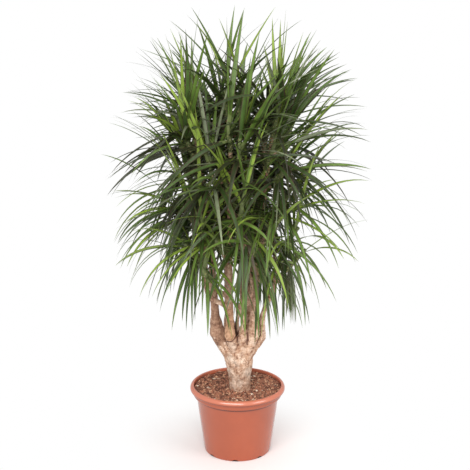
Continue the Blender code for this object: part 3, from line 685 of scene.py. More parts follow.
def make_pot():
    """A finely turned pot with its drainage notches cut into the foot."""
    mesh = bpy.data.meshes.new("pot_shell")
    profile = [(radius, 0.0, height) for radius, height in pot_profile()]
    mesh.from_pydata(profile, [(i, i + 1) for i in range(len(profile) - 1)], [])
    pot = add_object("pot_shell", mesh)
    turn = pot.modifiers.new("Turn", "SCREW")
    turn.steps = turn.render_steps = POT_STEPS
    turn.use_merge_vertices = True
    turn.merge_threshold = 0.00002
    cutter = notch_cutter()
    cut = pot.modifiers.new("Drain notches", "BOOLEAN")
    cut.operation = "DIFFERENCE"
    cut.object = cutter
    apply_modifiers(pot)
    bpy.data.objects.remove(cutter)
    # painted shade: the faces inside the notches are marked for the dark material
    in_notch = []
    for face in pot.data.polygons:
        out = math.hypot(face.center.x, face.center.y)
        low = GAP < face.center.z < DRAIN_NOTCH_SIZE[2] * 1.1
        in_notch.append(low and out < POT_BASE_RADIUS - NOTCH_EDGE)
    dress(pot.data, [pot_material(), mottled("pot_notch_shade")], in_notch)
    pot.data.set_sharp_from_angle(angle=math.radians(50))
    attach(pot, "root")
    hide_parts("pot")


# Pieces made of many small meshes


class Pile:
    """Vertices, faces, material numbers and blade coordinates, gathered for one joined mesh."""

    def __init__(self):
        self.points = []
        self.faces = []
        self.kinds = []
        self.blade = []
        self.count = 0

    def add(self, points, faces, kinds, blade=None):
        self.points.append(np.asarray(points, float))
        self.faces += [tuple(corner + self.count for corner in face) for face in faces]
        self.kinds += list(kinds)
        if blade is not None:
            self.blade.append(np.asarray(blade, float))
        self.count += len(points)

    def mesh(self, name):
        mesh = bpy.data.meshes.new(name)
        mesh.from_pydata(np.concatenate(self.points).tolist(), [], self.faces)
        return mesh

    def piece(self, name, materials, slot):
        mesh = self.mesh(name)
        dress(mesh, materials, self.kinds)
        if self.blade:
            corners = np.zeros(len(mesh.loops), np.int32)
            mesh.loops.foreach_get("vertex_index", corners)
            layer = mesh.uv_layers.new(name="blade")
            layer.data.foreach_set("uv", np.concatenate(self.blade)[corners].ravel())
        mesh.update()
        obj = add_object(name, mesh)
        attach(obj, "root")
        return obj


def tube_faces(rings, sides):
    """Quads between rings of points that follow each other, and a flat face at each end."""
    faces = []
    for ring in range(rings - 1):
        low, high = ring * sides, (ring + 1) * sides
        for side in range(sides):
            after = (side + 1) % sides
            faces.append((low + side, low + after, high + after, high + side))
    last = (rings - 1) * sides
    return faces + [tuple(range(sides - 1, -1, -1)), tuple(range(last, last + sides))]


# Soil


def soil_height(x, y):
    """The uneven level of the soil: a lumpy dish that rises to the pot's wall, banked round the trunk."""
    place = Vector((x, y, 0.0))
    rise = noise.fractal(place * 26, 0.8, 2.1, 3) * SOIL_SWELL
    rise += noise.noise(place * 140) * SOIL_SWELL * 0.35
    flat_radius, raised_radius, edge_level = SOIL_DISH
    out = (math.hypot(x, y) - flat_radius) / (raised_radius - flat_radius)
    banked = (from_trunk(x, y) - TRUNK_PROFILE[1][1]) / SOIL_BANK[1]
    rise += SOIL_BANK[0] * math.exp(-(banked**2)) * (0.6 + noise.noise(place * 40))
    return SOIL_LEVEL + rise + (edge_level - SOIL_LEVEL) * min(1.0, max(0.0, out))


def make_soil(chance):
    """The bed fills the pot, and chips of bark and peat lie on it."""
    collar_foot = POT_HEIGHT - POT_COLLAR_DEPTH
    floor_radius = POT_BASE_RADIUS - 1.7 * POT_WALL
    rings = [(radius, None) for radius in np.linspace(0.002, SOIL_RADIUS, SOIL_RINGS)]
    rings += [
        (SOIL_RADIUS, collar_foot + 2.2 * POT_WALL),
        (POT_WALL_TOP_RADIUS - POT_WALL - 2 * GAP, collar_foot + SMALL_STEP),
        (floor_radius - 2 * GAP, POT_FLOOR + 2 * POT_WALL),
    ]
    points = []
    for radius, height in rings:
        for turn in np.linspace(0, 2 * math.pi, SOIL_SPOKES, endpoint=False):
            x, y = radius * math.cos(turn), radius * math.sin(turn)
            points.append((x, y, soil_height(x, y) if height is None else height))
    faces = [face[::-1] for face in tube_faces(len(rings), SOIL_SPOKES)]
    bed = Pile()
    bed.add(points, faces, [0] * len(faces))
    piece = bed.piece("soil_bed", [mottled("soil_peat")], "potting_soil")
    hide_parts("potting_soil")
    make_chips(chance)


def make_chips(chance):
    """Flat, rough-edged chips, most of them small, lying at all angles."""
    pile = Pile()
    corners = np.array([(x, y, z) for x in (-1, 1) for y in (-1, 1) for z in (-1, 1)], float)
    faces = [(0, 1, 3, 2), (4, 6, 7, 5), (0, 4, 5, 1), (2, 3, 7, 6), (0, 2, 6, 4), (1, 5, 7, 3)]
    low, high = CHIP_LENGTHS
    for kind in chance.choice(len(CHIP_SHARES), CHIP_COUNT, p=CHIP_SHARES):
        radius = SOIL_RADIUS * 0.975 * math.sqrt(chance.uniform(0.0, 1.0))
        turn = chance.uniform(0, 2 * math.pi)
        x, y = radius * math.cos(turn), radius * math.sin(turn)
        if from_trunk(x, y) < CHIP_KEEP_OUT:
            continue
        long = low + (high - low) * chance.random() ** 2.6
        wide, high_share = chance.uniform(*CHIP_WIDTH_SHARES), chance.uniform(*CHIP_HEIGHT_SHARES)
        size = long * np.array([1.0, wide, high_share])
        shape = corners * size * chance.uniform(*CHIP_CORNER_SHARES, corners.shape)
        yaw = chance.uniform(0, 2 * math.pi)
        tilt, roll = chance.normal(0, CHIP_TILT), chance.normal(0, CHIP_TILT)
        shape = shape @ np.array(Euler((roll, tilt, yaw)).to_matrix()).T
        pile.add(shape + (x, y, soil_height(x, y) + size[2] * 0.5), faces, [kind] * len(faces))
    piece = pile.piece("soil_chips", [mottled(name) for name in CHIP_COLOURS], "potting_soil")
    piece.data.shade_flat()


# The growing rule: limbs, heads, masses


class Limb:
    """A tapering limb: points along its middle, with a radius at each."""

    def __init__(self, points, radii):
        self.points = np.asarray(points, float)
        self.radii = np.asarray(radii, float)

    def samples(self, spacing=0.006):
        steps = np.linalg.norm(np.diff(self.points, axis=0), axis=1)
        along = np.concatenate([[0.0], np.cumsum(steps)])
        wanted = np.linspace(0.0, along[-1], max(2, int(along[-1] / spacing)))
        middle = np.stack([np.interp(wanted, along, axis) for axis in self.points.T], 1)
        return middle, np.interp(wanted, along, self.radii)

    def at_height(self, height):
        """The point at a height, with the radius and the direction there."""
        middle, radii = self.samples(BEAD_SPACING)
        index = int(np.argmin(np.abs(middle[:, 2] - height)))
        index = min(max(index, 1), len(middle) - 2)
        direction = unit(middle[index + 1] - middle[index - 1])
        return middle[index], radii[index], direction

    def length(self):
        return float(np.linalg.norm(np.diff(self.points, axis=0), axis=1).sum())


def clearance(limb, other, skip=0.0):
    """The least free space between two limbs, leaving out the first stretch of the first."""
    middle, radii = limb.samples(0.008)
    keep = np.linalg.norm(middle - middle[0], axis=1) >= skip
    other_middle, other_radii = other.samples()
    apart = np.linalg.norm(middle[keep][:, None] - other_middle[None], axis=2)
    return (apart - radii[keep][:, None] - other_radii[None]).min()


def arm_limb(name):
    """An arm of the fork: out of the trunk, round its knuckle, and up past its flat tip."""
    azimuth, reach, height, knuckle_radius, tip_radius = ARMS[name]
    root = in_trunk(0.0, 0.0, ARM_ROOT_HEIGHT)
    tip = in_trunk(reach, azimuth, height)
    knuckle = in_trunk(reach * KNUCKLE_REACH_SHARE, azimuth, height - KNUCKLE_DROP)
    middle = (root + knuckle) / 2 - (0.0, 0.0, ARM_SAG)
    neck = (knuckle + 2 * tip) / 3
    points = [root, middle, knuckle, neck, tip, 2 * tip - neck]
    root_radii = [knuckle_radius * swell for swell in ARM_ROOT_SWELL]
    neck_radius = (knuckle_radius + 3 * tip_radius) / 4
    return Limb(points, [*root_radii, knuckle_radius, neck_radius, tip_radius, tip_radius])


def wood_limbs(boughs):
    """The trunk, its arms and the boughs."""
    heights, radii, shifts = zip(*TRUNK_PROFILE)
    middle = [in_trunk(shift, 0.0, TRUNK_LEVEL + height) for height, shift in zip(heights, shifts)]
    return [Limb(middle, radii)] + [arm_limb(name) for name in ARMS] + list(boughs.values())


def leafy_twig(head, start, way, foot, count):
    """A twig that sets out one way, past its foot if it has one, and swells under its head's leaves."""
    neck = head.tip - head.axis * LEAFY_LENGTH
    reach = float(np.linalg.norm(neck - start))
    leave = start + way * TWIG_HANDLES[0] * reach
    arrive = neck - head.axis * TWIG_HANDLES[1] * reach
    bare = bezier(start, leave, arrive, neck, count)
    if foot:
        bare = bare[1:]
    swell = head.tip - head.axis * LEAFY_LENGTH * LEAFY_SWELL_SHARE
    radii = [STEM_RADIUS] * len(foot) + [TWIG_RADIUS] * len(bare)
    return Limb([*foot, *bare, swell, head.tip], [*radii, LEAFY_RADIUS, LEAFY_TIP_RADIUS])


class Head:
    """One head of leaves: the tip of its leafy twig and the way that the twig points there."""

    def __init__(self, place, mass_azimuth, lift, chance):
        radius, height, turn, lean = place
        azimuth = mass_azimuth + turn + chance.uniform(-HEAD_TURN_SCATTER, HEAD_TURN_SCATTER)
        self.tip = in_crown(radius, azimuth, height + lift)
        self.tip += chance.uniform(-HEAD_SCATTER, HEAD_SCATTER, 3)
        self.grow(azimuth, lean, chance)

    def grow(self, azimuth, lean, chance):
        """The way it points, where its leaves start turning round it, and how slack they are."""
        lean = math.radians(lean)
        self.axis = unit(on_circle(math.sin(lean), azimuth, math.cos(lean)))
        self.phase = chance.uniform(0, 360)
        stiff, slack = STIFF_AND_SLACK_HEIGHTS
        self.slack = float(np.clip((stiff - self.tip[2]) / (stiff - slack), 0, 1))

    def between(self, stiff, slack):
        """A value between that of the stiff heads at the top and that of the slack ones at the foot."""
        return stiff + (slack - stiff) * self.slack


class Shoot(Head):
    """A smaller head on a short twig that leaves a bough's side at a height."""

    def __init__(self, bough, height, azimuth, chance):
        middle, radius, _ = bough.at_height(height)
        outward = on_circle(1.0, azimuth, 0.0)
        start = middle + outward * radius * SHOOT_SINK
        self.tip = start + outward * SHOOT_REACH + (0.0, 0.0, SHOOT_RISE)
        self.grow(azimuth, SHOOT_LEAN, chance)
        self.limb = leafy_twig(self, start, outward, [], 10)


class Mass:
    """A stem that forks into twigs, with a head of leaves at each twig's tip."""

    def __init__(self, name, chance):
        kind, azimuth, lift, self.arm = MASSES[name]
        self.name = name
        self.shoots = []
        self.root = in_crown(MASS_ROOTS[kind][0], azimuth, MASS_ROOTS[kind][1])
        self.heads = [Head(place, azimuth, lift, chance) for place in HEADS[kind]]
        middle = sum(head.tip for head in self.heads) / len(self.heads)
        self.way = unit(middle - self.root + (0.0, 0.0, STEM_UPTURN))

    def twigs(self, count=4):
        """One limb for each head: the stem itself, then the twigs that fork from its axis."""
        start = self.root + GAP * self.way
        foot = [start, start + self.way * STRAIGHT_FOOT]
        path, _ = leafy_twig(self.heads[0], start, self.way, foot, 4).samples(FINE_SPACING)
        found = [leafy_twig(self.heads[0], start, self.way, foot, count)]
        for head, fork in zip(self.heads[1:], TWIG_FORKS[1:]):
            place = int(fork * len(path))
            way = unit(path[place + 1] - path[place])
            found.append(leafy_twig(head, path[place], way, [], count))
        return found


def bough_limb(mass, start, leave, arrive, stub, radius, count, taper=1.0):
    """A bough up to its mass, straight where it starts and where it ends, that thins on the way."""
    points = bezier(start, leave, arrive, mass.root, count)
    points = np.insert(points, 1, stub, axis=0)
    points = np.insert(points, -1, mass.root - mass.way * STRAIGHT_FOOT, axis=0)
    share = np.linspace(0, 1, len(points))
    return Limb(points, STEM_RADIUS + (radius - STEM_RADIUS) * (1 - share) ** taper)


def main_bough(mass):
    """A bough from its arm's flat tip up to its mass."""
    arm = arm_limb(mass.arm)
    tip, beyond = arm.points[-2:]
    direction = unit(beyond - tip)
    start = tip + GAP * direction
    rise = mass.root[2] - start[2]
    leave = start + direction * BOUGH_HANDLES[0] * rise
    arrive = mass.root - mass.way * BOUGH_HANDLES[1] * rise
    stub = start + direction * BOUGH_STUB
    return bough_limb(mass, start, leave, arrive, stub, arm.radii[-1], 8, BOUGH_TAPER)


def side_bough(parent, height, mass):
    """A bough that leaves another's side at a height, and turns up to its mass."""
    middle, radius, direction = parent.at_height(height)
    outward = mass.root - middle
    outward = unit(outward - direction * float(np.dot(outward, direction)))
    start = middle + outward * (radius + GAP)
    reach = float(np.linalg.norm(mass.root - start))
    leave = start + (outward * SIDE_BOUGH_HANDLES[0] + direction * SIDE_BOUGH_RISE) * reach
    arrive = mass.root - mass.way * SIDE_BOUGH_HANDLES[1] * reach
    thick = min(SIDE_BOUGH_RADIUS, radius * SIDE_BOUGH_SHARE)
    return bough_limb(mass, start, leave, arrive, start + outward * SIDE_BOUGH_STUB, thick, 6)


def best(scored):
    """What has the highest score, out of pairs of a score and what has it."""
    return max(scored, key=lambda pair: pair[0])[1]


def choose_side_bough(mass, parents, limbs):
    """The side bough that leaves the most free space, over every parent and several heights."""
    scored = []
    for parent in parents:
        for drop in np.arange(*FORK_DROPS):
            height = mass.root[2] - drop
            if height < LOWEST_FORK:
                continue
            found = side_bough(parent, height, mass)
            free = min(clearance(found, limb, FORK_STRETCH if limb is parent else 0.0) for limb in limbs)
            length = float(np.linalg.norm(found.points[-1] - found.points[0]))
            if free > GAP * 4:
                scored.append((min(free, LIMB_CLEARANCE) * CLEARANCE_WORTH - length, found))
    return best(scored)


def all_boughs(masses):
    """Every bough by its mass: those that go on from the arms, then the side boughs."""
    boughs = {mass.name: main_bough(mass) for mass in masses if mass.arm}
    mains = list(boughs.values())
    for mass in masses:
        if not mass.arm:
            stems = [twig for other in masses if other is not mass for twig in other.twigs()]
            boughs[mass.name] = choose_side_bough(mass, mains, wood_limbs(boughs) + stems)
    return boughs


def add_shoots(masses, boughs, chance):
    """A shoot on each bough that goes on from an arm, turned to where the other limbs leave it most room."""
    twigs = [twig for mass in masses for twig in mass.twigs()]
    for mass in masses:
        if not mass.arm:
            continue
        bough = boughs[mass.name]
        others = [limb for limb in wood_limbs(boughs) if limb is not bough] + twigs
        height = chance.uniform(*SHOOT_HEIGHTS)
        phase = chance.integers(1 << 16)
        scored = []
        for turn in np.linspace(-SHOOT_SWEEP / 2, SHOOT_SWEEP / 2, SHOOT_TRIES):
            found = Shoot(bough, height, ARMS[mass.arm][0] + turn, np.random.default_rng(phase))
            free = min(clearance(found.limb, limb) for limb in others)
            score = min(free, 4 * LIMB_CLEARANCE) * CLEARANCE_WORTH - abs(turn) / SHOOT_SWEEP
            scored.append((score, found))
        mass.shoots.append(best(scored))


def frames_along(middle):
    """The direction at each point of a path, and two crosswise ones carried along it without twisting."""
    ways = units(np.gradient(middle, axis=0))
    sides = [unit(np.cross(ways[0], (0.31, 0.95, 0.05)))]
    for way in ways[1:]:
        sides.append(unit(sides[-1] - way * float(np.dot(sides[-1], way))))
    return ways, np.array(sides), np.cross(ways, sides)


def add_tube(pile, middle, radius, sides, kinds):
    """A tapering tube with flat ends, and one material number for each stretch."""
    _, across, others = frames_along(middle)
    turns = np.linspace(0, 2 * math.pi, sides, endpoint=False)[None, :, None]
    around = np.cos(turns) * across[:, None] + np.sin(turns) * others[:, None]
    points = (middle[:, None] + around * radius[:, None, None]).reshape(-1, 3)
    kinds = [*np.repeat(kinds, sides), kinds[0], kinds[-1]]
    pile.add(points, tube_faces(len(middle), sides), kinds)


# Bark of the trunk and the boughs


def limb_tree(limbs):
    """A tree of points along the limbs, with each point's radius and its distance along its limb."""
    beads = [limb.samples(BEAD_SPACING) for limb in limbs]
    radius = np.concatenate([radii for _, radii in beads])
    along = np.concatenate([np.arange(len(radii)) * BEAD_SPACING for _, radii in beads])
    tree = KDTree(len(radius))
    for number, point in enumerate(np.concatenate([points for points, _ in beads])):
        tree.insert(point, number)
    tree.balance()
    return tree, radius, along


def cork_relief(place):
    """Lumps with creases between them, as on an old, swollen trunk."""
    warp = noise.noise_vector(place * 30) * 0.35
    cell = Vector((place.x / LUMP_SIZE, place.y / LUMP_SIZE, place.z / (1.35 * LUMP_SIZE))) + warp
    distances, _ = noise.voronoi(cell)
    edge = distances[1] - distances[0]
    relief = LUMP_HEIGHT * (0.45 - distances[0])
    relief -= CREASE_DEPTH * math.exp(-((edge / CREASE_WIDTH_SHARE) ** 2))
    relief += noise.fractal(place * 75, 0.7, 2.2, 3) * CORK_GRAIN
    return relief + noise.noise(place * 16) * CORK_SWELL


def scar_rings(along, shift):
    """The height of the low rings that fallen leaves leave, at a distance along a stem."""
    phase = (along / SCAR_SPACING + shift) % 1.0
    return SCAR_HEIGHT * np.exp(-(((phase - 0.5) / SCAR_WIDTH_SHARE) ** 2))


def ring_relief(along, place):
    """Rings round a stem, and its slight unevenness."""
    ring = float(scar_rings(along, 0.25 * noise.noise(place * 25)))
    return ring + noise.fractal(place * 60, 0.8, 2.1, 3) * STEM_GRAIN


def thumb_limb():
    """The blunt end that stands out at the fork's front."""
    points = [in_trunk(reach, THUMB_AZIMUTH, height) for reach, height, _ in THUMB]
    return Limb(points, [radius for _, _, radius in THUMB])


def limb_tubes(masses, boughs):
    """The boughs, each sunk into what carries it, the filled fork with its cut stem, and the blunt end."""
    tubes = Pile()
    limbs = []
    for mass in masses:
        bough = boughs[mass.name]
        first = bough.points[0] - unit(bough.points[1] - bough.points[0]) * BOUGH_SINK
        limbs.append((Limb([first, *bough.points], [bough.radii[0], *bough.radii]), SKIN_SPACING))
    limbs += [(Limb(*zip(*STUMP)), FINE_SPACING), (thumb_limb(), FINE_SPACING)]
    for limb, spacing in limbs:
        middle, radius = limb.samples(spacing)
        add_tube(tubes, middle, radius, BARK_SIDES, [0] * (len(middle) - 1))
    return tubes


def make_bark(frame, masses, boughs):
    """Trunk and boughs as one skin: fused, smoothed and raised into cork below and rings above."""
    shape = bmesh.new()
    shape.from_mesh(frame["nodes"]["trunk"].data)
    shape.from_mesh(limb_tubes(masses, boughs).mesh("tubes"))
    bmesh.ops.remove_doubles(shape, verts=shape.verts, dist=0.00001)
    bark = mesh_object("bark_limbs", shape)
    fuse = bark.modifiers.new("Fuse", "REMESH")
    fuse.mode = "VOXEL"
    fuse.voxel_size = BARK_VOXEL
    smooth = bark.modifiers.new("Smooth", "SMOOTH")
    smooth.factor = 0.5
    smooth.iterations = BARK_SMOOTHING
    apply_modifiers(bark)
    raise_bark(bark.data, list(boughs.values()))
    barks = [bark_material(name, *look) for name, look in BARKS.items()]
    kinds = bark_kinds(np.array([face.center for face in bark.data.polygons]))
    dress(bark.data, [*barks, mottled("bark_shade")], kinds)
    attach(bark, "root")
    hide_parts("trunk", *("bough_" + mass.name for mass in masses))


def bark_kinds(middles):
    """Which bark each face has: cork, stem, the colour of its arm, or the shade of a cleft or a crease."""
    free, nearest = arms_nearby(middles)
    wander = np.array([noise.fractal(Vector(point) * 38, 0.7, 2.3, 3) for point in middles])
    height = middles[:, 2]
    kinds = np.where(height + CORK_EDGE_WANDER * wander > CORK_HEIGHTS[1], 1, 0)
    for kind, (arm, (level, reach)) in enumerate(COLOURED_ARMS.items(), 2):
        own = (nearest == list(ARMS).index(arm)) & (free[:, 0] < COLOURED_SKIN)
        kinds[own & (height + reach * wander > level) & (kinds == 0)] = kind
    deep = clefts(middles) > CLEFT_DEPTH * (CLEFT_SHADE_SHARE + CLEFT_SHADE_WANDER * wander)
    end = thumb_limb().points[THUMB_END]
    from_end = np.linalg.norm(middles - end, axis=1)
    below = height < end[2]
    near, far = THUMB_CREASE
    blunt = below & (from_end < near)
    kinds[blunt] = 2
    crease = below & (from_end >= near) & (from_end < far)
    kinds[(deep & (height < CORK_HEIGHTS[0]) & ~blunt) | crease] = len(BARKS)
    return kinds


def arms_nearby(points):
    """Each point's way to the skin of its two nearest arms, and which arm is the nearest."""
    ways = []
    for name in ARMS:
        found = np.full(len(points), np.inf)
        for centre, radius in zip(*arm_limb(name).samples(SKIN_SPACING)):
            found = np.minimum(found, np.linalg.norm(points - centre, axis=1) - radius)
        ways.append(found)
    return np.sort(ways, axis=0)[:2].T, np.argmin(ways, axis=0)


def clefts(points):
    """How far the skin dips where two arms meet, above the trunk's even foot."""
    near, _ = arms_nearby(points)
    low, high = CLEFT_HEIGHTS
    rise = np.clip((points[:, 2] - low) / (high - low), 0, 1)
    return CLEFT_DEPTH * rise * np.exp(-(((near[:, 1] - near[:, 0]) / CLEFT_WIDTH) ** 2))


def raise_bark(mesh, boughs):
    """Moves the skin along its normals, by the cork's relief low down and by that of the rings above."""
    tree, _, along = limb_tree(boughs)
    normals = [vertex.normal.copy() for vertex in mesh.vertices]
    dips = clefts(np.array([vertex.co for vertex in mesh.vertices]))
    low, high = CORK_HEIGHTS
    for vertex, normal, dip in zip(mesh.vertices, normals, dips):
        place = vertex.co.copy()
        cork = min(1.0, max(0.0, (high - place.z) / (high - low)))
        _, number, _ = tree.find(place)
        relief = (1 - cork) * ring_relief(along[number], place)
        if cork > 0:
            relief += cork * (cork_relief(place) - dip)
        vertex.co = place + normal * relief
    mesh.update()


# Twigs, leaf scars and old leaf bases


def add_twig(pile, limb, chance):
    """A ringed twig that turns from tan bark to green under its leaves."""
    middle, radius = limb.samples(TWIG_SPACING)
    along = np.arange(len(middle)) * limb.length() / (len(middle) - 1)
    kinds = np.where(along[:-1] > limb.length() - LEAFY_LENGTH - GREEN_NECK, 1, 0)
    add_tube(pile, middle, radius + scar_rings(along, chance.uniform(0, 1)), TWIG_SIDES, kinds)


def add_spikes(pile, limb, chance):
    """The pale, pointed bases that old leaves leave round the neck of a head."""
    middle, radius = limb.samples(FINE_SPACING)
    ways, sides, others = frames_along(middle)
    spacing = limb.length() / (len(middle) - 1)
    below, above = SPIKY_STRETCH
    start = limb.length() - LEAFY_LENGTH - below
    for number in range(SPIKES_PER_HEAD):
        place = start + (below + above) * number / SPIKES_PER_HEAD
        index = int(np.clip(place / spacing, 1, len(middle) - 2))
        turn = math.radians(GOLDEN_ANGLE * number)
        outward = sides[index] * math.cos(turn) + others[index] * math.sin(turn)
        around = np.cross(ways[index], outward)
        spread = chance.uniform(*SPIKE_SPREADS)
        foot = middle[index] + outward * radius[index] * 0.9
        direction = ways[index] * math.cos(spread) + outward * math.sin(spread)
        tip = foot + direction * chance.uniform(*SPIKE_LENGTHS)
        half = around * chance.uniform(*SPIKE_WIDTHS)
        back = foot - ways[index] * 0.0018
        points = [foot + half, foot + outward * 0.0014, foot - half, back, tip]
        pile.add(points, [(0, 1, 4), (1, 2, 4), (2, 3, 4), (3, 0, 4)], [0] * 4)


def make_twigs(mass, materials, chance):
    twigs = Pile()
    spikes = Pile()
    for limb in mass.twigs(12) + [shoot.limb for shoot in mass.shoots]:
        add_twig(twigs, limb, chance)
        add_spikes(spikes, limb, chance)
    twigs.piece("twigs_" + mass.name, materials[:2], "bark")
    spikes.piece("old_bases_" + mass.name, materials[2:], "leaf")


# Leaves


class Leaf:
    """A strap leaf that leaves its twig straight and bends down along its length."""

    def __init__(self, root, direction, length, droop, roll, twist, sway):
        self.share = np.linspace(0, 1, LEAF_SEGMENTS + 1)
        steps = 3 * LEAF_SEGMENTS
        step = length / steps
        way = unit(direction)
        side = unit(np.cross(way, (0.02, 0.01, 1.0)))
        points = [np.array(root, float)]
        for i in range(steps):
            at = (i + 0.5) / steps
            pull = np.array([0.0, 0.0, -1.0]) + way * way[2]
            way = way + (pull * droop * (0.25 + 1.5 * at) + side * sway * at) * step
            way = way / math.sqrt(float(way @ way))
            points.append(points[-1] + way * step)
        self.points = np.array(points)[::3]
        ways = units(np.gradient(self.points, axis=0))
        across = units(side - ways * (ways @ side)[:, None])
        upper = np.cross(across, ways)
        turn = (roll + twist * self.share)[:, None]
        self.across = across * np.cos(turn) + upper * np.sin(turn)
        self.upper = np.cross(self.across, ways)

    def half_width(self, width):
        """Half the blade's width: clasping at the root, widest before the middle, drawn out to a point."""
        clasp = 0.35 + 0.30 * np.exp(-((self.share / 0.035) ** 2))
        swell = 0.50 + 0.50 * np.clip(self.share / 0.30, 0, 1) ** 0.7
        return 0.5 * width * np.maximum(clasp, swell) * np.clip((1 - self.share) / 0.60, 0, 1) ** 0.82

    def clear_of(self, tree, radii):
        """Whether the blade, past its root, touches no limb."""
        found = (tree.find(point) for point in self.points[2:])
        return all(apart >= radii[number] + LEAF_CLEARANCE for _, number, apart in found)


def in_outline(points):
    """Whether the points keep to the crown's outline, an egg whose upper and lower halves differ."""
    rise = points[:, 2] - CROWN_MIDDLE
    power = np.where(rise > 0, *CROWN_POWERS)
    up = np.abs(rise) / np.where(rise > 0, *CROWN_HEIGHTS)
    out = from_crown_axis(points) / CROWN_RADIUS
    return bool((out**power + up**power).max() <= 1)


def planned_leaf(head, number, chance):
    """A leaf's root, direction, length and age: young and upright at the tip, old and hanging below."""
    age = ((number * GOLDEN_SHARE + head.phase / 360) % 1.0) ** AGE_POWER
    opening = head.between(*OLD_ANGLES) - YOUNG_ANGLE
    angle = YOUNG_ANGLE + opening * age**ANGLE_POWER + chance.normal(0, 5)
    from_axis = math.radians(max(2.0, angle))
    turn = math.radians(GOLDEN_ANGLE * number + head.phase + chance.normal(0, 9))
    side = unit(np.cross(head.axis, (0.0, 1.0, 0.02)))
    across = side * math.cos(turn) + np.cross(head.axis, side) * math.sin(turn)
    direction = unit(across * math.sin(from_axis) + head.axis * math.cos(from_axis))
    root = head.tip - head.axis * (FIRST_ROOT + (LEAFY_LENGTH - FIRST_ROOT) * age)
    root = root + across * (ROOT_RADIUS[0] + ROOT_RADIUS[1] * age)
    length = LEAF_LENGTH * (0.80 + 0.24 * math.sin(math.pi * min(1.0, age + 0.12)))
    return root, direction, length * chance.uniform(*LEAF_LENGTH_SHARES), age


def leaf_kind(age, slack, tone, chance):
    """Which green a leaf has, by its age, by its head's height and tone as painted shade and light, and by
    chance.
    """
    names = list(GREENS)
    if age > 0.9 and chance.random() < DULL_CHANCE:
        return names.index("dull")
    # painted highlight: some older leaves are painted pale for their gloss
    if age > 0.2 and chance.random() < PALE_HIGHLIGHT_CHANCE:
        return names.index("pale_highlight")
    rank = age * (AGE_RANKS[0] - AGE_RANKS[1] * slack) + tone + chance.normal(0, RANK_SPREAD)
    return int(np.clip(rank, 0, names.index("dark")))


def add_leaf(pile, leaf, width, fold, kind):
    """A folded blade of five lines of points: margin, blade, midrib, blade, margin."""
    half = leaf.half_width(width)
    depth = half * fold * (1 - 0.6 * leaf.share)
    rows = [
        leaf.points + leaf.across * (half * across)[:, None] + leaf.upper * (depth * lift)[:, None]
        for across, lift in LEAF_LINES
    ]
    lines = len(LEAF_LINES)
    faces = []
    kinds = []
    for i in range(LEAF_SEGMENTS):
        for j in range(lines - 1):
            low, high = i * lines + j, (i + 1) * lines + j
            faces.append((low, low + 1, high + 1, high))
            edge = j in (0, lines - 2)
            kinds.append(len(GREENS) if i == 0 else len(GREENS) + 1 if edge else kind)
    blade = [(j / (lines - 1), share) for share in leaf.share for j in range(lines)]
    pile.add(np.stack(rows, axis=1).reshape(-1, 3), faces, kinds, blade)


def is_left_out(tip, luck):
    """Whether a leaf is left out to let the sky through, low at the crown's side and more on its right."""
    share = np.interp(tip[0], (-OPEN_SIDE_RADIUS, OPEN_SIDE_RADIUS), OPEN_SIDE_SHARES)
    return luck < share and tip[2] < OPEN_SIDE_TOP and from_crown_axis(tip) > OPEN_SIDE_RADIUS


def make_leaves(mass, tree, radii, materials, chance):
    """The leaves of one mass, as one joined piece."""
    pile = Pile()
    for head in mass.heads + mass.shoots:
        grown = 0
        wanted = int(np.interp(head.slack, *LEAVES_BY_SLACK))
        if head in mass.shoots:
            wanted = SHOOT_LEAVES
        elif mass.name == "top":
            wanted = TOP_LEAVES
        # painted shade: darker greens for the heads of the dense upper crown
        tone = chance.uniform(*HEAD_TONES) * np.interp(head.slack, *SHADE_TONE_BY_SLACK)
        for number in range(wanted * 3):
            if grown == wanted:
                break
            root, direction, length, age = planned_leaf(head, number, chance)
            droop = head.between(*DROOPS) * chance.uniform(1 - DROOP_SPREAD, 1 + DROOP_SPREAD)
            droop *= 0.55 + 0.75 * age
            turns = chance.normal(0, LEAF_TURN_SPREAD, 3) * (1.0, 1.4, 1.0)
            width = LEAF_WIDTH * chance.uniform(*LEAF_WIDTH_SHARES)
            width *= 1 + (OLD_LEAF_WIDTH_SHARE - 1) * age**0.7
            fold = chance.uniform(*LEAF_FOLDS)
            kind = leaf_kind(age, head.slack, tone, chance)
            luck = chance.random()
            for share in SHORTENED:
                leaf = Leaf(root, direction, length * share, droop, *turns)
                if is_left_out(leaf.points[-1], luck):
                    break
                if in_outline(leaf.points) and leaf.clear_of(tree, radii):
                    add_leaf(pile, leaf, width, fold, kind)
                    grown += 1
                    break
    piece = pile.piece("blades_" + mass.name, materials, "leaf")
    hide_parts("leaves_" + mass.name)


def make_crown(masses, boughs, chance):
    greens = [leaf_material("leaf_" + name, *look) for name, look in GREENS.items()]
    greens += [leaf_material("leaf_base", *LEAF_BASE), leaf_material("leaf_margin", *LEAF_MARGIN)]
    barks = [bpy.data.materials["bark_stem"], mottled("green_stem"), mottled("old_leaf_base")]
    tree, radii, _ = limb_tree(wood_limbs(boughs))
    for mass in masses:
        make_twigs(mass, barks, chance)
        make_leaves(mass, tree, radii, greens, chance)


# Studio


def area_light(name, place, target, size, power):
    data = bpy.data.lights.new(name, "AREA")
    data.shape = "RECTANGLE"
    data.size, data.size_y = size
    data.energy = power
    lamp = add_object(name, data)
    lamp.location = place
    lamp.rotation_euler = (Vector(target) - lamp.location).to_track_quat("-Z", "Y").to_euler()


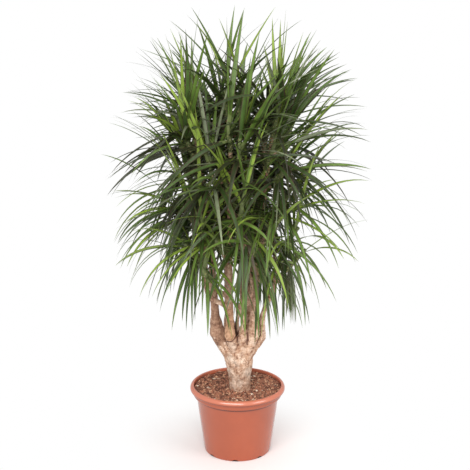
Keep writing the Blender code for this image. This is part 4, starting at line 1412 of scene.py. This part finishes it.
def make_studio():
    """White round about, dimmer as a light than it looks, three lamps and a floor."""
    scene = bpy.context.scene
    scene.view_settings.view_transform = "Standard"
    scene.world = bpy.data.worlds.new("studio")
    scene.world.use_nodes = True
    tree = scene.world.node_tree
    soft = tree.nodes["Background"]
    soft.inputs["Color"].default_value = (*SKY_COLOUR, 1.0)
    soft.inputs["Strength"].default_value = SKY_STRENGTH
    bright = add_node(tree, "Background", Color=(*WHITE, 1.0), Strength=1.0)
    seen = add_node(tree, "LightPath").outputs["Is Camera Ray"]
    mix_shaders(tree, seen, soft, bright, "World Output")
    for name, lamp in LAMPS.items():
        area_light(name, *lamp)
    shape = bmesh.new()
    bmesh.ops.create_circle(shape, cap_ends=True, segments=96, radius=FLOOR_RADIUS)
    floor = mesh_object("floor", shape)
    floor.data.materials.append(floor_material())


def floor_material():
    """A white floor, tinted a little where the pot stands, that runs out into the white round about."""
    made, tree, shader, place = new_material("studio_floor", 0.8)
    shader.inputs["Base Color"].default_value = (*FLOOR_COLOUR, 1.0)
    far = add_node(tree, "VectorMath", {"operation": "LENGTH"}, Vector=place).outputs["Value"]
    low, high = FLOOR_FADE
    smooth = {"interpolation_type": "SMOOTHSTEP"}
    fade = add_node(tree, "MapRange", smooth, Value=far, From_Min=low, From_Max=high)
    white = add_node(tree, "Emission", Color=(*WHITE, 1.0))
    mix_shaders(tree, fade.outputs["Result"], shader, white, "Material Output")
    return made


def make_camera():
    data = bpy.data.cameras.new("camera")
    data.lens = CAMERA_LENS
    data.sensor_width = SENSOR_WIDTH
    camera = add_object("camera", data)
    camera.location = CAMERA_PLACE
    camera.rotation_euler = (math.radians(90 - CAMERA_PITCH), 0.0, 0.0)
    bpy.context.scene.camera = camera


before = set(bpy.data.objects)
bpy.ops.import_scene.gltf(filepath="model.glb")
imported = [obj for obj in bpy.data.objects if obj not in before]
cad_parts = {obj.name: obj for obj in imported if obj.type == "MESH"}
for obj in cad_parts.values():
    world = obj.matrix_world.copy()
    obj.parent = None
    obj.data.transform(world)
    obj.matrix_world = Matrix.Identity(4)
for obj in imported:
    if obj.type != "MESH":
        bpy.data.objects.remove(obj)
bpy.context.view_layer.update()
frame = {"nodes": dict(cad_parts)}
make_camera()
make_studio()
chance = np.random.default_rng(SEED)
masses = [Mass(name, chance) for name in MASSES]
boughs = all_boughs(masses)
add_shoots(masses, boughs, np.random.default_rng(SEED + 1))
make_pot()
make_soil(np.random.default_rng(SEED + 2))
make_bark(frame, masses, boughs)
make_crown(masses, boughs, np.random.default_rng(SEED + 3))
